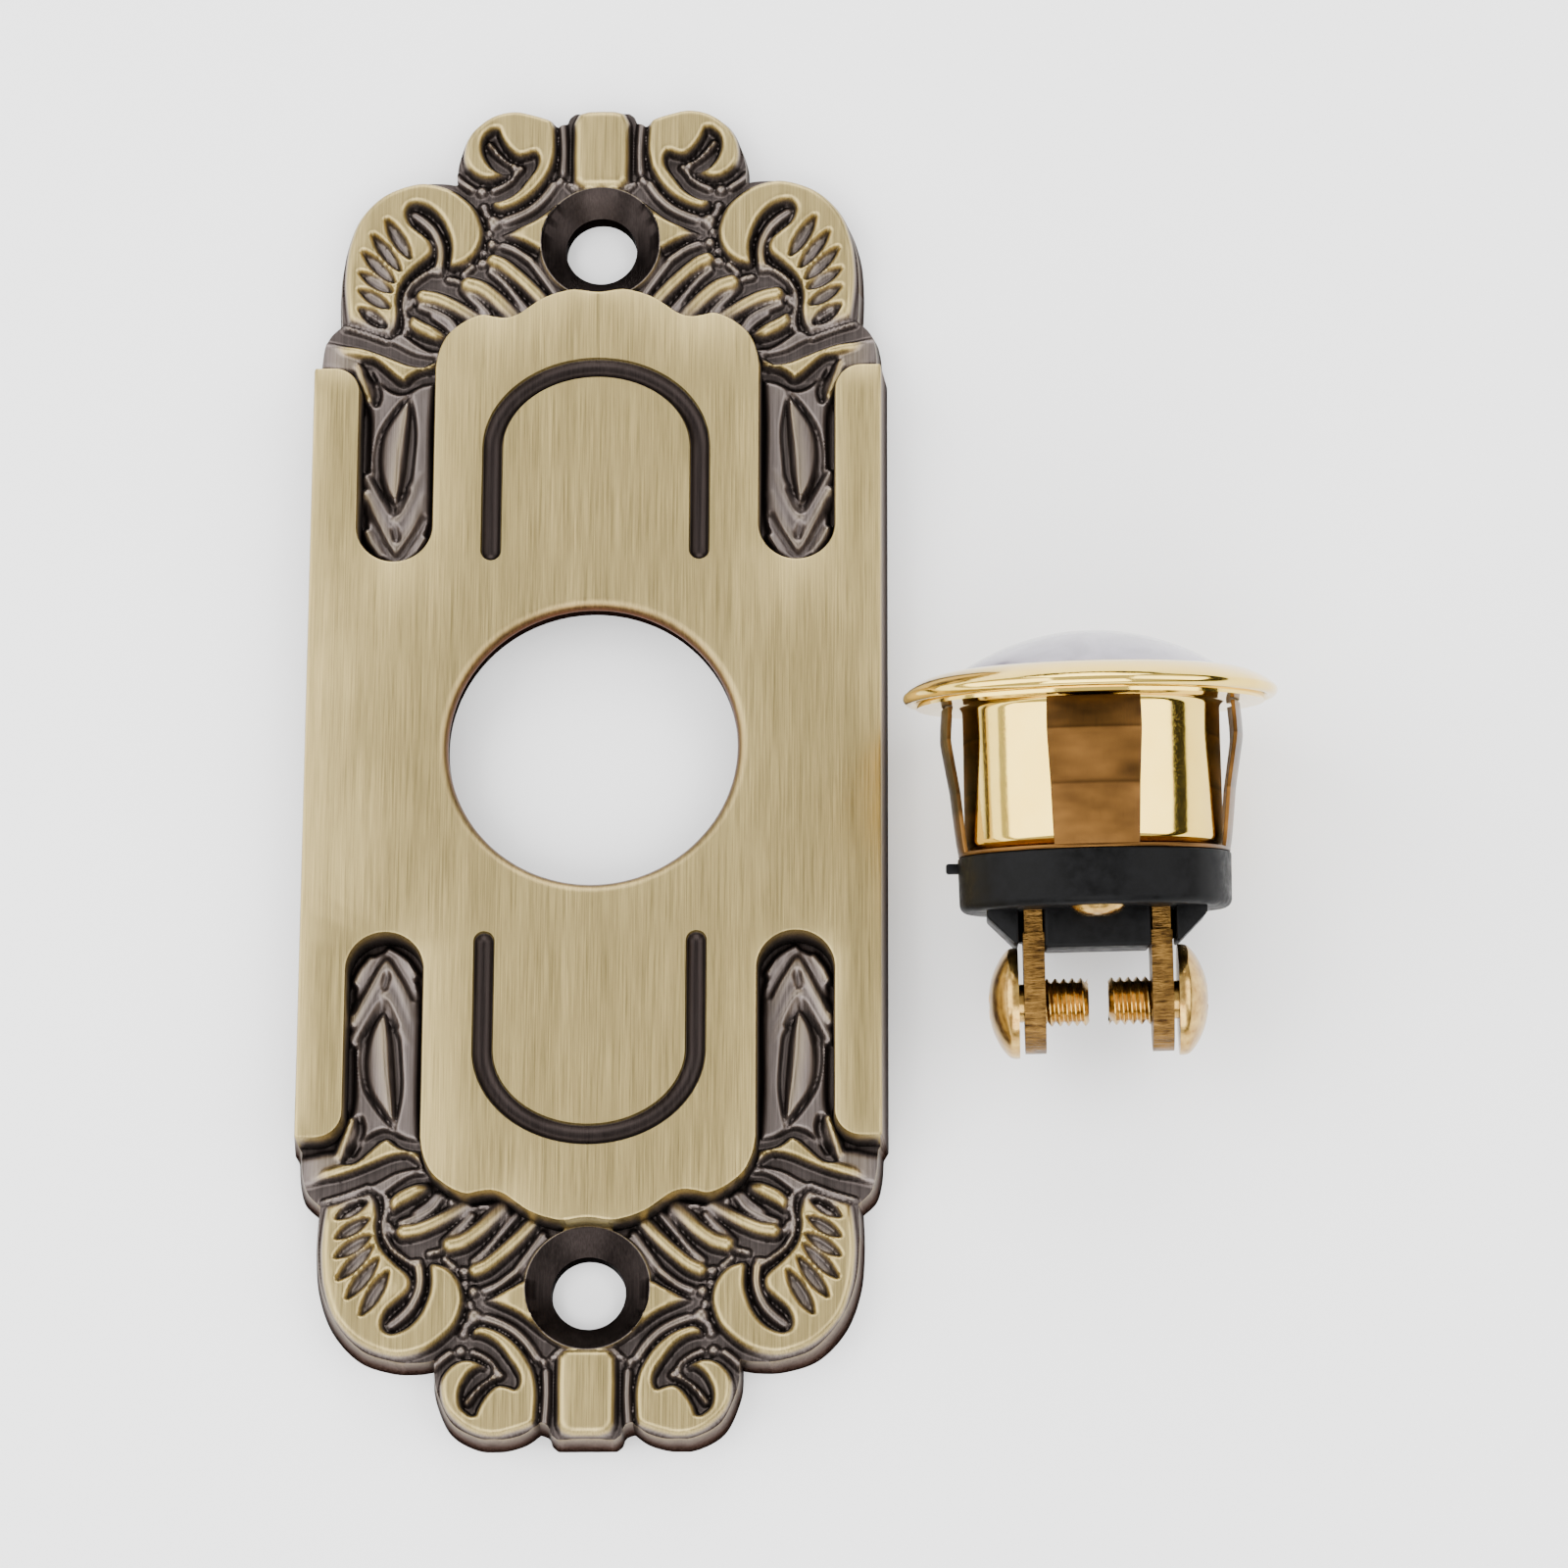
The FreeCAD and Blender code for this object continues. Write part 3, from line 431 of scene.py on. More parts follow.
def sheared_brass():
    """Raw brass strip: torn, striated edges left by the shear, browned by handling."""
    made, tree, surface = finish("sheared_brass_strip", {"Metallic": 1.0})
    # torn lines 0.3 mm apart along the cut and 2 mm deep, stains about 1.5 mm across
    tears = add(tree, "ShaderNodeTexNoise", {"Scale": 1.0, "Detail": 3.0, "Roughness": 0.7},
                {"Vector": unit_place(tree, (0.5, 0.5, 3.6))})
    stain = add(tree, "ShaderNodeTexNoise", {"Scale": 0.7, "Detail": 5.0, "Roughness": 0.6},
                {"Vector": unit_place(tree)})
    torn = add(tree, "ShaderNodeMix", {"data_type": "FLOAT", "Factor": 0.6},
               {"A": stain.outputs["Fac"], "B": tears.outputs["Fac"]})
    tone = add(tree, "ShaderNodeValToRGB", {"stops": ((0.36, "#2A1B0D"), (0.62, "#7A5B2E"))},
               {"Fac": torn.outputs[0]})
    bump = add(tree, "ShaderNodeBump", {"Strength": 0.9, "Distance": 0.25 * MM},
               {"Height": tears.outputs["Fac"]})
    gloss = add(tree, "ShaderNodeMapRange", {"To Min": 0.28, "To Max": 0.55},
                {"Value": stain.outputs["Fac"]})
    feed(tree, surface, {"Base Color": tone, "Roughness": gloss, "Normal": bump})
    return made


def turned_brass():
    """Machine-turned, brightened brass screws and rivets: glossy and warm, with small knocks."""
    made, tree, surface = finish("bright_turned_brass", {"Metallic": 1.0})
    # knocks and dull spots about 1 mm across
    knock = add(tree, "ShaderNodeTexNoise", {"Scale": 1.1, "Detail": 5.0, "Roughness": 0.6},
                {"Vector": unit_place(tree)})
    tone = add(tree, "ShaderNodeValToRGB", {"stops": ((0.35, "#957139"), (0.65, "#C7A45C"))},
               {"Fac": knock.outputs["Fac"]})
    gloss = add(tree, "ShaderNodeMapRange", {"To Min": 0.12, "To Max": 0.34},
                {"Value": knock.outputs["Fac"]})
    bump = add(tree, "ShaderNodeBump", {"Strength": 0.2, "Distance": 0.04 * MM},
               {"Height": knock.outputs["Fac"]})
    feed(tree, surface, {"Base Color": tone, "Roughness": gloss, "Normal": bump})
    return made


def spring_wire():
    """Drawn stainless spring wire, bright with fine draw marks."""
    made, tree, surface = finish("drawn_spring_wire", {"Metallic": 1.0, "Roughness": 0.25})
    # draw marks 0.15 mm across
    marks = add(tree, "ShaderNodeTexNoise", {"Scale": 6.0, "Detail": 2.0}, {"Vector": unit_place(tree)})
    tone = add(tree, "ShaderNodeValToRGB", {"stops": ((0.0, "#8E8C88"), (1.0, "#C9C7C2"))},
               {"Fac": marks.outputs["Fac"]})
    feed(tree, surface, {"Base Color": tone})
    return made


ANTIQUE = antique_brass()
BRASS_MIRROR = polished_brass()
BRONZE = spring_bronze()
BLACK = phenolic()
PEARL = pearl()
STRIP = sheared_brass()
TURNED = turned_brass()
WIRE = spring_wire()


# The face plate's carving. One quarter is drawn and mirrored to the other three.

# The outside at the table, and how far its sides have drawn in at the top
HALF_WIDE = 25.0
HALF_LONG = 60.0
DRAFT = 0.45
EDGE_X = HALF_WIDE - DRAFT
EDGE_Y = HALF_LONG - DRAFT

# The face: heights of the carving's ground and crest, of the slots' floor and of the brushed field,
# and the field's rounded edge and how wide its steep wall is from above
GROUND = 2.75
CREST_TOP = 4.25
SLOT_FLOOR = 2.6
FIELD_TOP = 6.0
FIELD_ROUND = 0.28
FIELD_WALL = 0.14

# The button hole, the U groove's middle line and the countersunk screw holes
HOLE_R = 12.3
HOLE_ROUND = 1.0
GROOVE_X = 8.94
GROOVE_TOP = 26.9
GROOVE_END = 17.5
GROOVE_R = 0.87
SCREW_Y = 46.9
SCREW_R = 3.1
SINK_R = 5.15
SINK_TOP = 3.75

# The back: two levels of hollow and the bosses left round the screw holes
DEEP_LEVEL = 3.9
HOLLOW_LEVEL = 1.4
HOLLOW_X = 22.4
HOLLOW_Y = 57.4
BOSS_R = 7.2

# Grids: the height map's cells and the mesh's points over the carving
CELL = 0.06
PITCH = 0.166
map_x = np.arange(0.0, 26.0, CELL)
map_y = np.arange(14.5, 61.0, CELL)


def drawn(*runs, step=0.2):
    """Points along smooth runs, each starting where the one before it ended."""
    rows = []
    for run in runs:
        fine = np.array(through(run, 12)) if len(run) > 2 else np.array(run, float)
        gaps = np.hypot(*np.diff(fine, axis=0).T)
        reach = np.concatenate([[0.0], np.cumsum(gaps)])
        count = max(2, int(round(reach[-1] / step)) + 1)
        marks = np.linspace(0, reach[-1], count)
        rows.append(np.stack([np.interp(marks, reach, fine[:, k]) for k in (0, 1)], 1))
    return np.concatenate([rows[0]] + [row[1:] for row in rows[1:]])


def line_distance(x, y, path):
    """Distance to a line of points and how far along it (0 to 1) the nearest point is."""
    best = np.full(x.shape, 1e9)
    share = np.zeros(x.shape)
    steps = np.hypot(*np.diff(path, axis=0).T)
    reach = np.concatenate([[0.0], np.cumsum(steps)])
    for k, (a, b) in enumerate(zip(path, path[1:])):
        d = b - a
        size = max(d @ d, 1e-12)
        t = np.clip(((x - a[0]) * d[0] + (y - a[1]) * d[1]) / size, 0, 1)
        gap = np.hypot(x - a[0] - t * d[0], y - a[1] - t * d[1])
        nearer = gap < best
        best = np.where(nearer, gap, best)
        share = np.where(nearer, (reach[k] + t * steps[k]) / reach[-1], share)
    return best, share


def within(x, y, loop):
    """Which points lie inside a closed outline."""
    closed = np.concatenate([loop, loop[:1]])
    odd = np.zeros(x.shape, bool)
    for (ax, ay), (bx, by) in zip(closed, closed[1:]):
        if ay != by:
            odd ^= ((ay > y) != (by > y)) & (x < (bx - ax) * (y - ay) / (by - ay) + ax)
    return odd


def depth_inside(x, y, loop):
    """Distance to a closed outline, positive inside it."""
    gap = line_distance(x, y, np.concatenate([loop, loop[:1]]))[0]
    return np.where(within(x, y, loop), gap, -gap)


def window(path, margin):
    """The part of the height map round a path, as slices and its own coordinates."""
    lo = path.min(axis=0) - margin
    hi = path.max(axis=0) + margin
    cols = slice(max(0, np.searchsorted(map_x, lo[0])), np.searchsorted(map_x, hi[0]))
    rows = slice(max(0, np.searchsorted(map_y, lo[1])), np.searchsorted(map_y, hi[1]))
    x, y = np.meshgrid(map_x[cols], map_y[rows])
    return (rows, cols), x, y


def round_edge(share):
    """The height of a quarter circle, 0 to 1, at a share of its way in."""
    return np.sqrt(np.clip(1 - (1 - np.clip(share, 0, 1)) ** 2, 0, 1))


def ease(value, low, high):
    """A soft step from 0 to 1 between two values."""
    t = np.clip((value - low) / (high - low), 0, 1)
    return t * t * (3 - 2 * t)


def pad(relief, loop, top=CREST_TOP, edge=0.55, fall=None, foot=GROUND):
    """A cushion raised over an outline with rounded edges; fall lowers its top from place to place."""
    spot, x, y = window(loop, 0.3)
    level = top - (fall(x, y) if fall else 0)
    depth = depth_inside(x, y, loop)
    raised = foot + (level - foot) * round_edge(depth / edge)
    relief[spot] = np.maximum(relief[spot], np.where(depth > 0, raised, 0))


def bar(relief, path, half, tops, slim=1.0):
    """A round bar along a line, its top running from one height to another and its width to a share."""
    path = drawn(path)
    spot, x, y = window(path, max(half, 0.3) + 0.2)
    gap, share = line_distance(x, y, path)
    wide = half * (1 + (slim - 1) * share)
    top = tops[0] + (tops[1] - tops[0]) * share
    raised = GROUND + (top - GROUND) * np.sqrt(np.clip(1 - (gap / wide) ** 2, 0, 1))
    relief[spot] = np.maximum(relief[spot], np.where(gap < wide, raised, 0))


def carve(relief, path, half, depth):
    """A hollow cut along a line."""
    path = drawn(path)
    spot, x, y = window(path, half + 0.2)
    gap = line_distance(x, y, path)[0]
    relief[spot] -= depth * np.clip(1 - (gap / half) ** 2, 0, 1)


def flute(relief, start, end, half, depth):
    """A hollow with pointed ends."""
    path = drawn([start, end])
    spot, x, y = window(path, half + 0.2)
    gap, share = line_distance(x, y, path)
    wide = half * np.sin(math.pi * np.clip(share, 0.03, 0.97)) ** 0.5
    relief[spot] -= depth * np.clip(1 - (gap / wide) ** 4, 0, 1)


def bead(relief, x0, y0, radius, top):
    """A round bead, a little wider than its drawn radius, as the casting's softening narrows it."""
    radius = radius * 1.2
    spot, x, y = window(np.array([[x0, y0]]), radius + 0.1)
    gap = np.hypot(x - x0, y - y0) / radius
    relief[spot] = np.maximum(relief[spot], np.where(gap < 1, GROUND + (top - GROUND) * np.sqrt(
        np.clip(1 - gap ** 2, 0, 1)), 0))


def soften(field, radius):
    """A gaussian blur over the height map, the radius in millimetres."""
    spread = radius / CELL
    reach = int(3 * spread) + 1
    weights = np.exp(-0.5 * (np.arange(-reach, reach + 1) / spread) ** 2)
    weights /= weights.sum()
    for axis in (0, 1):
        wide = np.pad(field, [(reach, reach) if axis == k else (0, 0) for k in (0, 1)], mode="reflect")
        field = sum(w * np.take(wide, range(k, k + field.shape[axis]), axis=axis)
                    for k, w in enumerate(weights))
    return field


def comb_scroll(relief):
    """The big corner scroll: a lobed band with an S-shaped groove and six flutes."""
    loop = drawn(
        [(22.1, 39.8), (22.4, 43.0), (22.3, 45.5), (22.0, 47.2), (21.3, 49.2), (20.0, 50.9), (18.5, 52.0),
         (16.5, 52.7), (15.0, 52.75), (13.2, 52.2), (11.8, 51.2), (10.9, 50.2), (10.4, 49.0), (10.2, 47.9),
         (10.4, 46.7), (11.0, 45.6), (11.9, 44.9), (13.0, 44.6)],
        [(13.0, 44.6), (13.3, 44.8)],
        [(13.3, 44.8), (13.2, 46.5), (13.4, 47.6), (14.0, 49.0), (15.0, 50.1), (16.2, 50.6), (16.8, 50.3),
         (16.9, 49.7), (16.5, 48.8), (15.5, 47.9), (14.8, 47.2), (14.6, 46.3), (14.9, 45.6), (15.8, 44.8),
         (16.8, 43.8), (17.4, 42.8), (17.6, 41.5), (17.5, 40.5), (17.7, 39.2), (18.3, 38.4)],
        [(18.3, 38.4), (20.0, 38.9), (22.0, 39.6)])
    pad(relief, loop, edge=0.6,
        fall=lambda x, y: 0.75 * ease(-y, -41.6, -38.4) + 0.12 * ease(x, 20.6, 22.4))
    bar(relief, [(16.4, 49.9), (15.5, 49.2), (14.7, 48.3), (14.15, 47.1), (14.0, 46.0), (14.1, 45.0)],
        0.52, (3.35, 3.75))
    carve(relief, [(17.7, 47.4), (18.7, 46.1), (19.4, 44.7), (19.6, 43.3), (19.7, 41.8), (19.75, 40.1)],
          1.9, 0.16)
    for start, end, half in (((18.75, 49.1), (16.65, 45.55), 0.5), ((19.95, 47.7), (17.5, 44.4), 0.46),
                             ((20.75, 46.1), (18.0, 43.3), 0.46), ((20.95, 44.2), (18.2, 42.4), 0.46),
                             ((20.95, 42.55), (18.4, 40.95), 0.46), ((20.95, 40.85), (18.7, 39.35), 0.44)):
        flute(relief, start, end, half * 1.35, 0.85)
        a, b = np.array(start), np.array(end)
        across = np.array([-(b - a)[1], (b - a)[0]]) / np.hypot(*(b - a))
        spine = np.array([a * 0.8 + b * 0.2, a * 0.2 + b * 0.8]) - across * 0.12
        bar(relief, [tuple(p) for p in spine], 0.2, (3.5, 3.45))


def volute(relief):
    """The curled leaf at the end's shoulder, with its ribbed eye."""
    loop = drawn(
        [(4.05, 58.0), (3.95, 56.0), (4.1, 54.7), (4.4, 53.7), (5.0, 52.6), (5.8, 51.6), (6.9, 50.7),
         (8.0, 50.2), (8.9, 50.05), (9.5, 50.4), (9.6, 51.0)],
        [(9.6, 51.0), (8.9, 51.0), (8.0, 51.4), (7.2, 52.1), (6.4, 53.2), (5.8, 54.1), (5.65, 54.9),
         (5.9, 55.4)],
        [(5.9, 55.4), (6.5, 55.15), (7.2, 55.05), (7.8, 55.3), (8.5, 56.1), (9.0, 57.0), (9.2, 57.6)],
        [(9.2, 57.6), (9.5, 57.6)],
        [(9.5, 57.6), (10.2, 57.0), (10.4, 56.2), (10.3, 55.4), (9.9, 54.6), (9.4, 54.0), (8.7, 53.65),
         (7.9, 53.75)],
        [(7.9, 53.75), (8.8, 53.2), (9.7, 52.9), (10.6, 53.0), (11.4, 53.5), (12.0, 54.3), (12.2, 55.2),
         (12.05, 56.4), (11.6, 57.4), (11.0, 58.1), (10.0, 58.9), (8.8, 59.4), (7.5, 59.55), (6.3, 59.3),
         (5.0, 58.9), (4.3, 58.6)])
    pad(relief, loop, edge=0.5)
    bar(relief, [(9.9, 56.5), (9.3, 55.7), (8.5, 54.9), (7.6, 54.35)], 0.34, (3.6, 3.5), 0.6)
    bar(relief, [(9.5, 52.2), (8.6, 52.6), (7.9, 53.1), (7.5, 53.7), (7.0, 54.2)], 0.36, (3.45, 3.5), 0.7)
    bar(relief, [(8.4, 49.35), (7.2, 49.8), (6.0, 50.5), (5.0, 51.5), (4.25, 52.6)], 0.5, (3.45, 3.5))
    bar(relief, [(12.8, 53.6), (12.2, 52.9), (11.4, 52.3)], 0.38, (3.3, 3.55))
    for spot in ((7.75, 54.4, 0.3, 3.7), (7.15, 54.2, 0.3, 3.6), (7.6, 53.75, 0.28, 3.6),
                 (10.5, 52.1, 0.45, 3.5), (10.3, 50.6, 0.4, 3.4), (10.1, 49.95, 0.36, 3.4),
                 (3.6, 53.05, 0.36, 3.5), (9.45, 49.15, 0.62, 3.55), (9.8, 48.1, 0.34, 3.5),
                 (9.55, 47.05, 0.46, 3.6), (10.2, 46.3, 0.3, 3.4), (10.4, 45.3, 0.42, 3.5)):
        bead(relief, *spot)


def end_block(relief):
    """The cushion in the middle of the end and the ridged channel beside it."""
    loop = np.array([(-3.0, 52.0), (1.9, 52.0), (2.55, 52.7), (2.6, 55.0), (2.55, 58.4), (2.1, 59.3),
                     (1.2, 59.55), (-3.0, 59.6)])
    pad(relief, loop, top=CREST_TOP + 0.05, edge=0.75, fall=lambda x, y: 0.16 * (x / 2.6) ** 2)
    bar(relief, [(3.5, 58.4), (3.35, 56.0), (3.4, 53.9)], 0.42, (3.4, 3.4))
    bar(relief, [(2.9, 52.7), (2.1, 51.9)], 0.3, (3.4, 3.5))


def fan(relief):
    """The three-cornered web that leans down from the countersink."""
    loop = drawn([(8.85, 47.9), (7.6, 48.35), (6.2, 48.95), (5.2, 49.6), (4.3, 50.35), (3.2, 51.2)],
                 [(3.2, 51.2), (3.4, 49.0), (3.4, 46.8)],
                 [(3.4, 46.8), (4.9, 46.05), (6.6, 46.85), (8.85, 47.9)])
    pad(relief, loop, top=4.2, edge=0.45, fall=lambda x, y: 0.75 * ease(x, 6.4, 8.6))
    bar(relief, [(8.6, 46.95), (7.5, 46.5), (6.1, 45.45)], 0.42, (3.4, 3.6))
    bar(relief, [(5.9, 45.2), (4.9, 43.8), (3.8, 42.2)], 0.42, (3.5, 3.4))
    bar(relief, [(5.3, 45.7), (4.3, 43.9), (3.3, 42.7)], 0.3, (3.45, 3.35))


def reeds(relief):
    """Round reeds that dip from the beads towards the field, with a thin ridge beside each."""
    bar(relief, [(9.35, 45.35), (8.4, 44.9), (6.9, 43.6), (5.6, 42.3), (4.75, 41.3)], 0.74, (4.25, 3.75))
    bar(relief, [(9.6, 44.5), (8.4, 43.4), (7.2, 41.9), (6.0, 40.4)], 0.38, (3.5, 3.35))
    bar(relief, [(9.0, 44.0), (7.8, 42.6), (6.5, 40.7)], 0.36, (3.35, 3.25))
    bar(relief, [(11.5, 43.15), (10.4, 42.8), (9.2, 41.9), (8.1, 40.8), (7.3, 39.9)], 0.84, (4.2, 3.6))
    bar(relief, [(12.0, 42.85), (11.2, 42.0), (10.4, 41.2), (9.8, 40.5)], 0.46, (3.5, 3.4))
    bar(relief, [(15.45, 42.05), (14.3, 41.85), (13.0, 41.3), (11.6, 40.5), (10.4, 39.7)],
        0.74, (4.25, 3.55))
    bar(relief, [(15.7, 41.2), (14.2, 40.6), (13.1, 39.9), (12.4, 38.8)], 0.42, (3.5, 3.4))
    bar(relief, [(14.6, 40.3), (13.5, 39.5), (12.8, 38.7)], 0.3, (3.3, 3.3))
    leaf = drawn([(16.45, 40.5), (16.75, 39.4), (16.2, 38.6), (15.3, 38.1), (14.3, 37.75), (13.4, 37.7)],
                 [(13.4, 37.7), (13.1, 38.3), (13.7, 38.9), (15.0, 39.6), (15.9, 40.1), (16.45, 40.5)])
    pad(relief, leaf, top=4.25, edge=0.75, fall=lambda x, y: 0.7 * ease(-x, -14.8, -13.0))
    bar(relief, [(10.0, 39.95), (9.0, 39.75), (8.1, 39.65), (7.3, 39.3)], 0.24, (3.3, 3.3))
    for spot in ((11.4, 39.3, 0.4, 3.4), (12.3, 38.9, 0.36, 3.35), (10.7, 39.5, 0.36, 3.45)):
        bead(relief, *spot)


def beads(relief):
    """The string of beads between the scrolls and the reeds."""
    bar(relief, [(11.2, 44.95), (11.95, 44.25)], 0.36, (3.55, 3.5))
    bar(relief, [(12.5, 43.6), (13.3, 43.8)], 0.36, (3.55, 3.5))
    bar(relief, [(14.1, 44.5), (14.7, 44.6)], 0.42, (3.5, 3.6))
    bar(relief, [(15.2, 44.35), (16.3, 43.5), (16.95, 42.5), (17.15, 41.2), (16.9, 39.8), (17.0, 38.9)],
        0.34, (3.6, 3.4))
    bar(relief, [(16.4, 41.9), (16.7, 41.3)], 0.34, (3.4, 3.4))


def collar(relief):
    """The wing across the shoulder, the sloping collar outside it and the small lug at the bar's end."""
    wing = drawn([(23.6, 37.95), (22.3, 37.65), (20.5, 37.25), (18.5, 36.5), (16.6, 35.7), (15.3, 35.5),
                  (14.6, 35.9), (13.9, 36.6)],
                 [(13.9, 36.6), (13.9, 35.0)],
                 [(13.9, 35.0), (15.0, 34.95), (16.0, 34.6), (16.9, 33.85)],
                 [(16.9, 33.85), (17.6, 34.2), (18.5, 35.0), (19.6, 35.95), (20.7, 36.1), (21.6, 36.3),
                  (22.6, 36.6), (23.6, 37.95)])
    pad(relief, wing, top=4.15, edge=0.5, fall=lambda x, y: 0.55 * ease(x, 20.5, 23.2)
        + 0.5 * ease(-x, -14.9, -14.1))
    slope = drawn([(26.5, 38.6), (23.0, 37.9), (21.0, 37.0), (20.6, 35.9), (21.1, 35.0), (22.2, 34.95),
                   (24.0, 35.3), (26.5, 35.2)], [(26.5, 35.2), (26.5, 38.6)])
    pad(relief, slope, top=3.5, edge=0.7, fall=lambda x, y: 0.25 * ease(x, 22.0, 24.6))
    floor = drawn([(18.6, 38.0), (17.6, 38.75), (16.9, 38.5), (15.6, 37.55), (14.7, 37.1), (13.5, 37.05)],
                  [(13.5, 37.05), (13.5, 36.35)],
                  [(13.5, 36.35), (14.6, 36.4), (16.2, 36.75), (17.6, 37.5), (18.6, 38.0)])
    pad(relief, floor, top=3.35, edge=0.3)
    bar(relief, [(22.2, 39.3), (20.4, 38.75), (18.5, 38.0)], 0.3, (3.5, 3.4))
    bed = drawn([(21.3, 35.4), (20.3, 35.5), (19.6, 34.6), (19.0, 34.2), (18.0, 33.4), (16.9, 33.2),
                 (15.6, 33.9), (14.2, 34.2)], [(14.2, 34.2), (14.4, 30.0), (14.4, 22.0), (15.0, 19.0)],
                [(15.0, 19.0), (17.3, 17.4), (19.3, 18.4)],
                [(19.3, 18.4), (20.0, 21.0), (19.9, 28.0), (20.0, 31.4), (20.9, 33.4), (21.3, 35.4)])
    pad(relief, bed, top=3.3, edge=0.5, foot=SLOT_FLOOR)
    carve(relief, [(20.0, 35.0), (19.45, 34.0), (19.2, 33.0), (19.4, 32.2)], 0.42, 0.6)
    bar(relief, [(21.0, 35.5), (20.75, 34.6), (20.35, 33.4), (20.0, 32.4)], 0.5, (3.7, 3.85), 0.9)


def slot_leaves(relief):
    """The husk leaf lying in the slot and the pointed leaves below it, each with a raised edge."""
    hollow = drawn([(16.3, 33.5), (17.8, 31.9), (19.2, 29.6), (19.65, 27.2), (19.45, 25.0), (18.4, 22.6),
                    (17.4, 21.8)], [(17.4, 21.8), (16.2, 24.0), (15.8, 27.0), (15.7, 30.0), (16.3, 33.5)])
    spot, x, y = window(hollow, 0.2)
    depth = depth_inside(x, y, hollow)
    relief[spot] = np.where(depth > 0, relief[spot] - 0.55 * ease(depth, 0.0, 0.35), relief[spot])
    leaf = drawn([(16.35, 33.0), (17.5, 31.5), (18.65, 29.8), (19.1, 28.0), (19.0, 26.0), (18.4, 24.0),
                  (17.4, 22.6)], [(17.4, 22.6), (16.75, 25.0), (16.5, 27.0), (16.35, 30.0), (16.35, 33.0)])
    spot, x, y = window(leaf, 0.2)
    depth = depth_inside(x, y, leaf)
    ridge = drawn([(16.35, 32.8), (16.85, 30.2), (17.2, 27.6), (17.35, 25.4), (17.4, 23.3)])
    gap = line_distance(x, y, ridge)[0]
    outwards = x > np.interp(y, ridge[::-1, 1], ridge[::-1, 0])
    height = np.where(outwards, 3.58 - 0.2 * gap - 0.07 * gap ** 2, 3.58 - 0.9 * gap)
    height = height - 0.5 * (1 - ease(depth, 0.0, 0.3))
    relief[spot] = np.maximum(relief[spot], np.where(depth > 0, height, 0))
    for arms, half, top in (([(20.0, 25.2), (18.9, 23.2), (17.5, 21.0)], 0.65, 3.45),
                            ([(17.4, 21.4), (16.4, 23.2), (15.3, 25.6)], 0.7, 3.5),
                            ([(20.1, 23.6), (18.8, 21.0), (17.4, 18.4)], 0.75, 3.6),
                            ([(17.3, 18.6), (16.0, 20.8), (15.1, 23.6)], 0.8, 3.5),
                            ([(19.9, 20.2), (19.5, 19.3), (18.7, 18.2)], 0.45, 3.6),
                            ([(14.9, 19.6), (15.8, 18.3), (17.2, 17.4)], 0.36, 3.45)):
        bar(relief, arms, half, (top, top - 0.15))
    for groove in ([(19.5, 25.4), (18.4, 23.2), (17.45, 22.0), (16.5, 24.0)],
                   [(20.2, 22.8), (19.2, 20.8), (17.5, 17.9), (16.0, 19.6), (14.9, 21.6)],
                   [(17.5, 20.6), (17.3, 19.6)]):
        carve(relief, groove, 0.4, 0.3)


def carved_relief():
    """The height map of everything lower than the brushed field."""
    relief = np.full((map_y.size, map_x.size), GROUND)
    relief[map_y < 34.0, :] = SLOT_FLOOR
    for carving in (collar, slot_leaves, reeds, beads, fan, end_block, volute, comb_scroll):
        carving(relief)
    return soften(relief, 0.115)


def ring(cx, cy, radius, first, last, step=0.3):
    """Points round a centre from one angle to another in degrees."""
    count = max(3, int(math.radians(abs(last - first)) * radius / step))
    turn = np.radians(np.linspace(first, last, count + 1))
    return np.stack([cx + radius * np.cos(turn), cy + radius * np.sin(turn)], 1)


def flats_outline():
    """The edge of all that stands at the field's height, drawn past the plate's own sides."""
    field = drawn([(14.05, 34.5), (13.9, 35.5), (13.6, 36.5), (13.0, 37.6), (12.0, 38.5), (11.0, 39.1),
                   (10.0, 39.4), (9.0, 39.2), (8.0, 39.1), (7.0, 39.4), (6.0, 40.1), (5.0, 40.8),
                   (4.0, 41.25), (3.2, 41.5), (2.0, 41.7), (0.0, 41.45), (-2.0, 41.7)], step=0.25)
    return np.concatenate([
        [(-2.0, -3.0), (30.0, -3.0), (30.0, 34.5)], drawn([(24.9, 34.5), (22.85, 34.5)], step=0.5),
        ring(22.85, 32.2, 2.3, 90, 180, 0.25)[1:], drawn([(20.55, 32.2), (20.55, 19.91)], step=1.0)[1:],
        ring(17.3, 19.91, 3.25, 0, -180, 0.25)[1:], drawn([(14.05, 19.91), (14.05, 34.5)], step=1.0)[1:-1],
        field])


def silhouette():
    """The outside edge of one quarter at the table, from the side's middle to the end's middle."""
    edge = drawn([(25.0, 0.0), (25.0, 34.5)], [(25.0, 34.5), (24.6, 35.2)],
                 [(24.6, 35.2), (24.45, 37.2), (24.0, 38.8), (22.9, 39.9)],
                 [(22.9, 39.9), (23.0, 43.0), (22.7, 46.5), (21.5, 49.8), (19.2, 52.3), (16.4, 53.3),
                  (14.2, 53.4), (12.9, 53.2)],
                 [(12.9, 53.2), (12.75, 55.5), (11.5, 58.4), (9.3, 59.8), (7.2, 60.0), (5.2, 59.5),
                  (3.9, 58.6)],
                 [(3.9, 58.6), (3.2, 58.9), (2.9, 59.6), (2.4, 60.0)],
                 [(2.4, 60.0), (0.0, 60.0)], step=0.22)
    return np.minimum(edge, (HALF_WIDE, HALF_LONG))


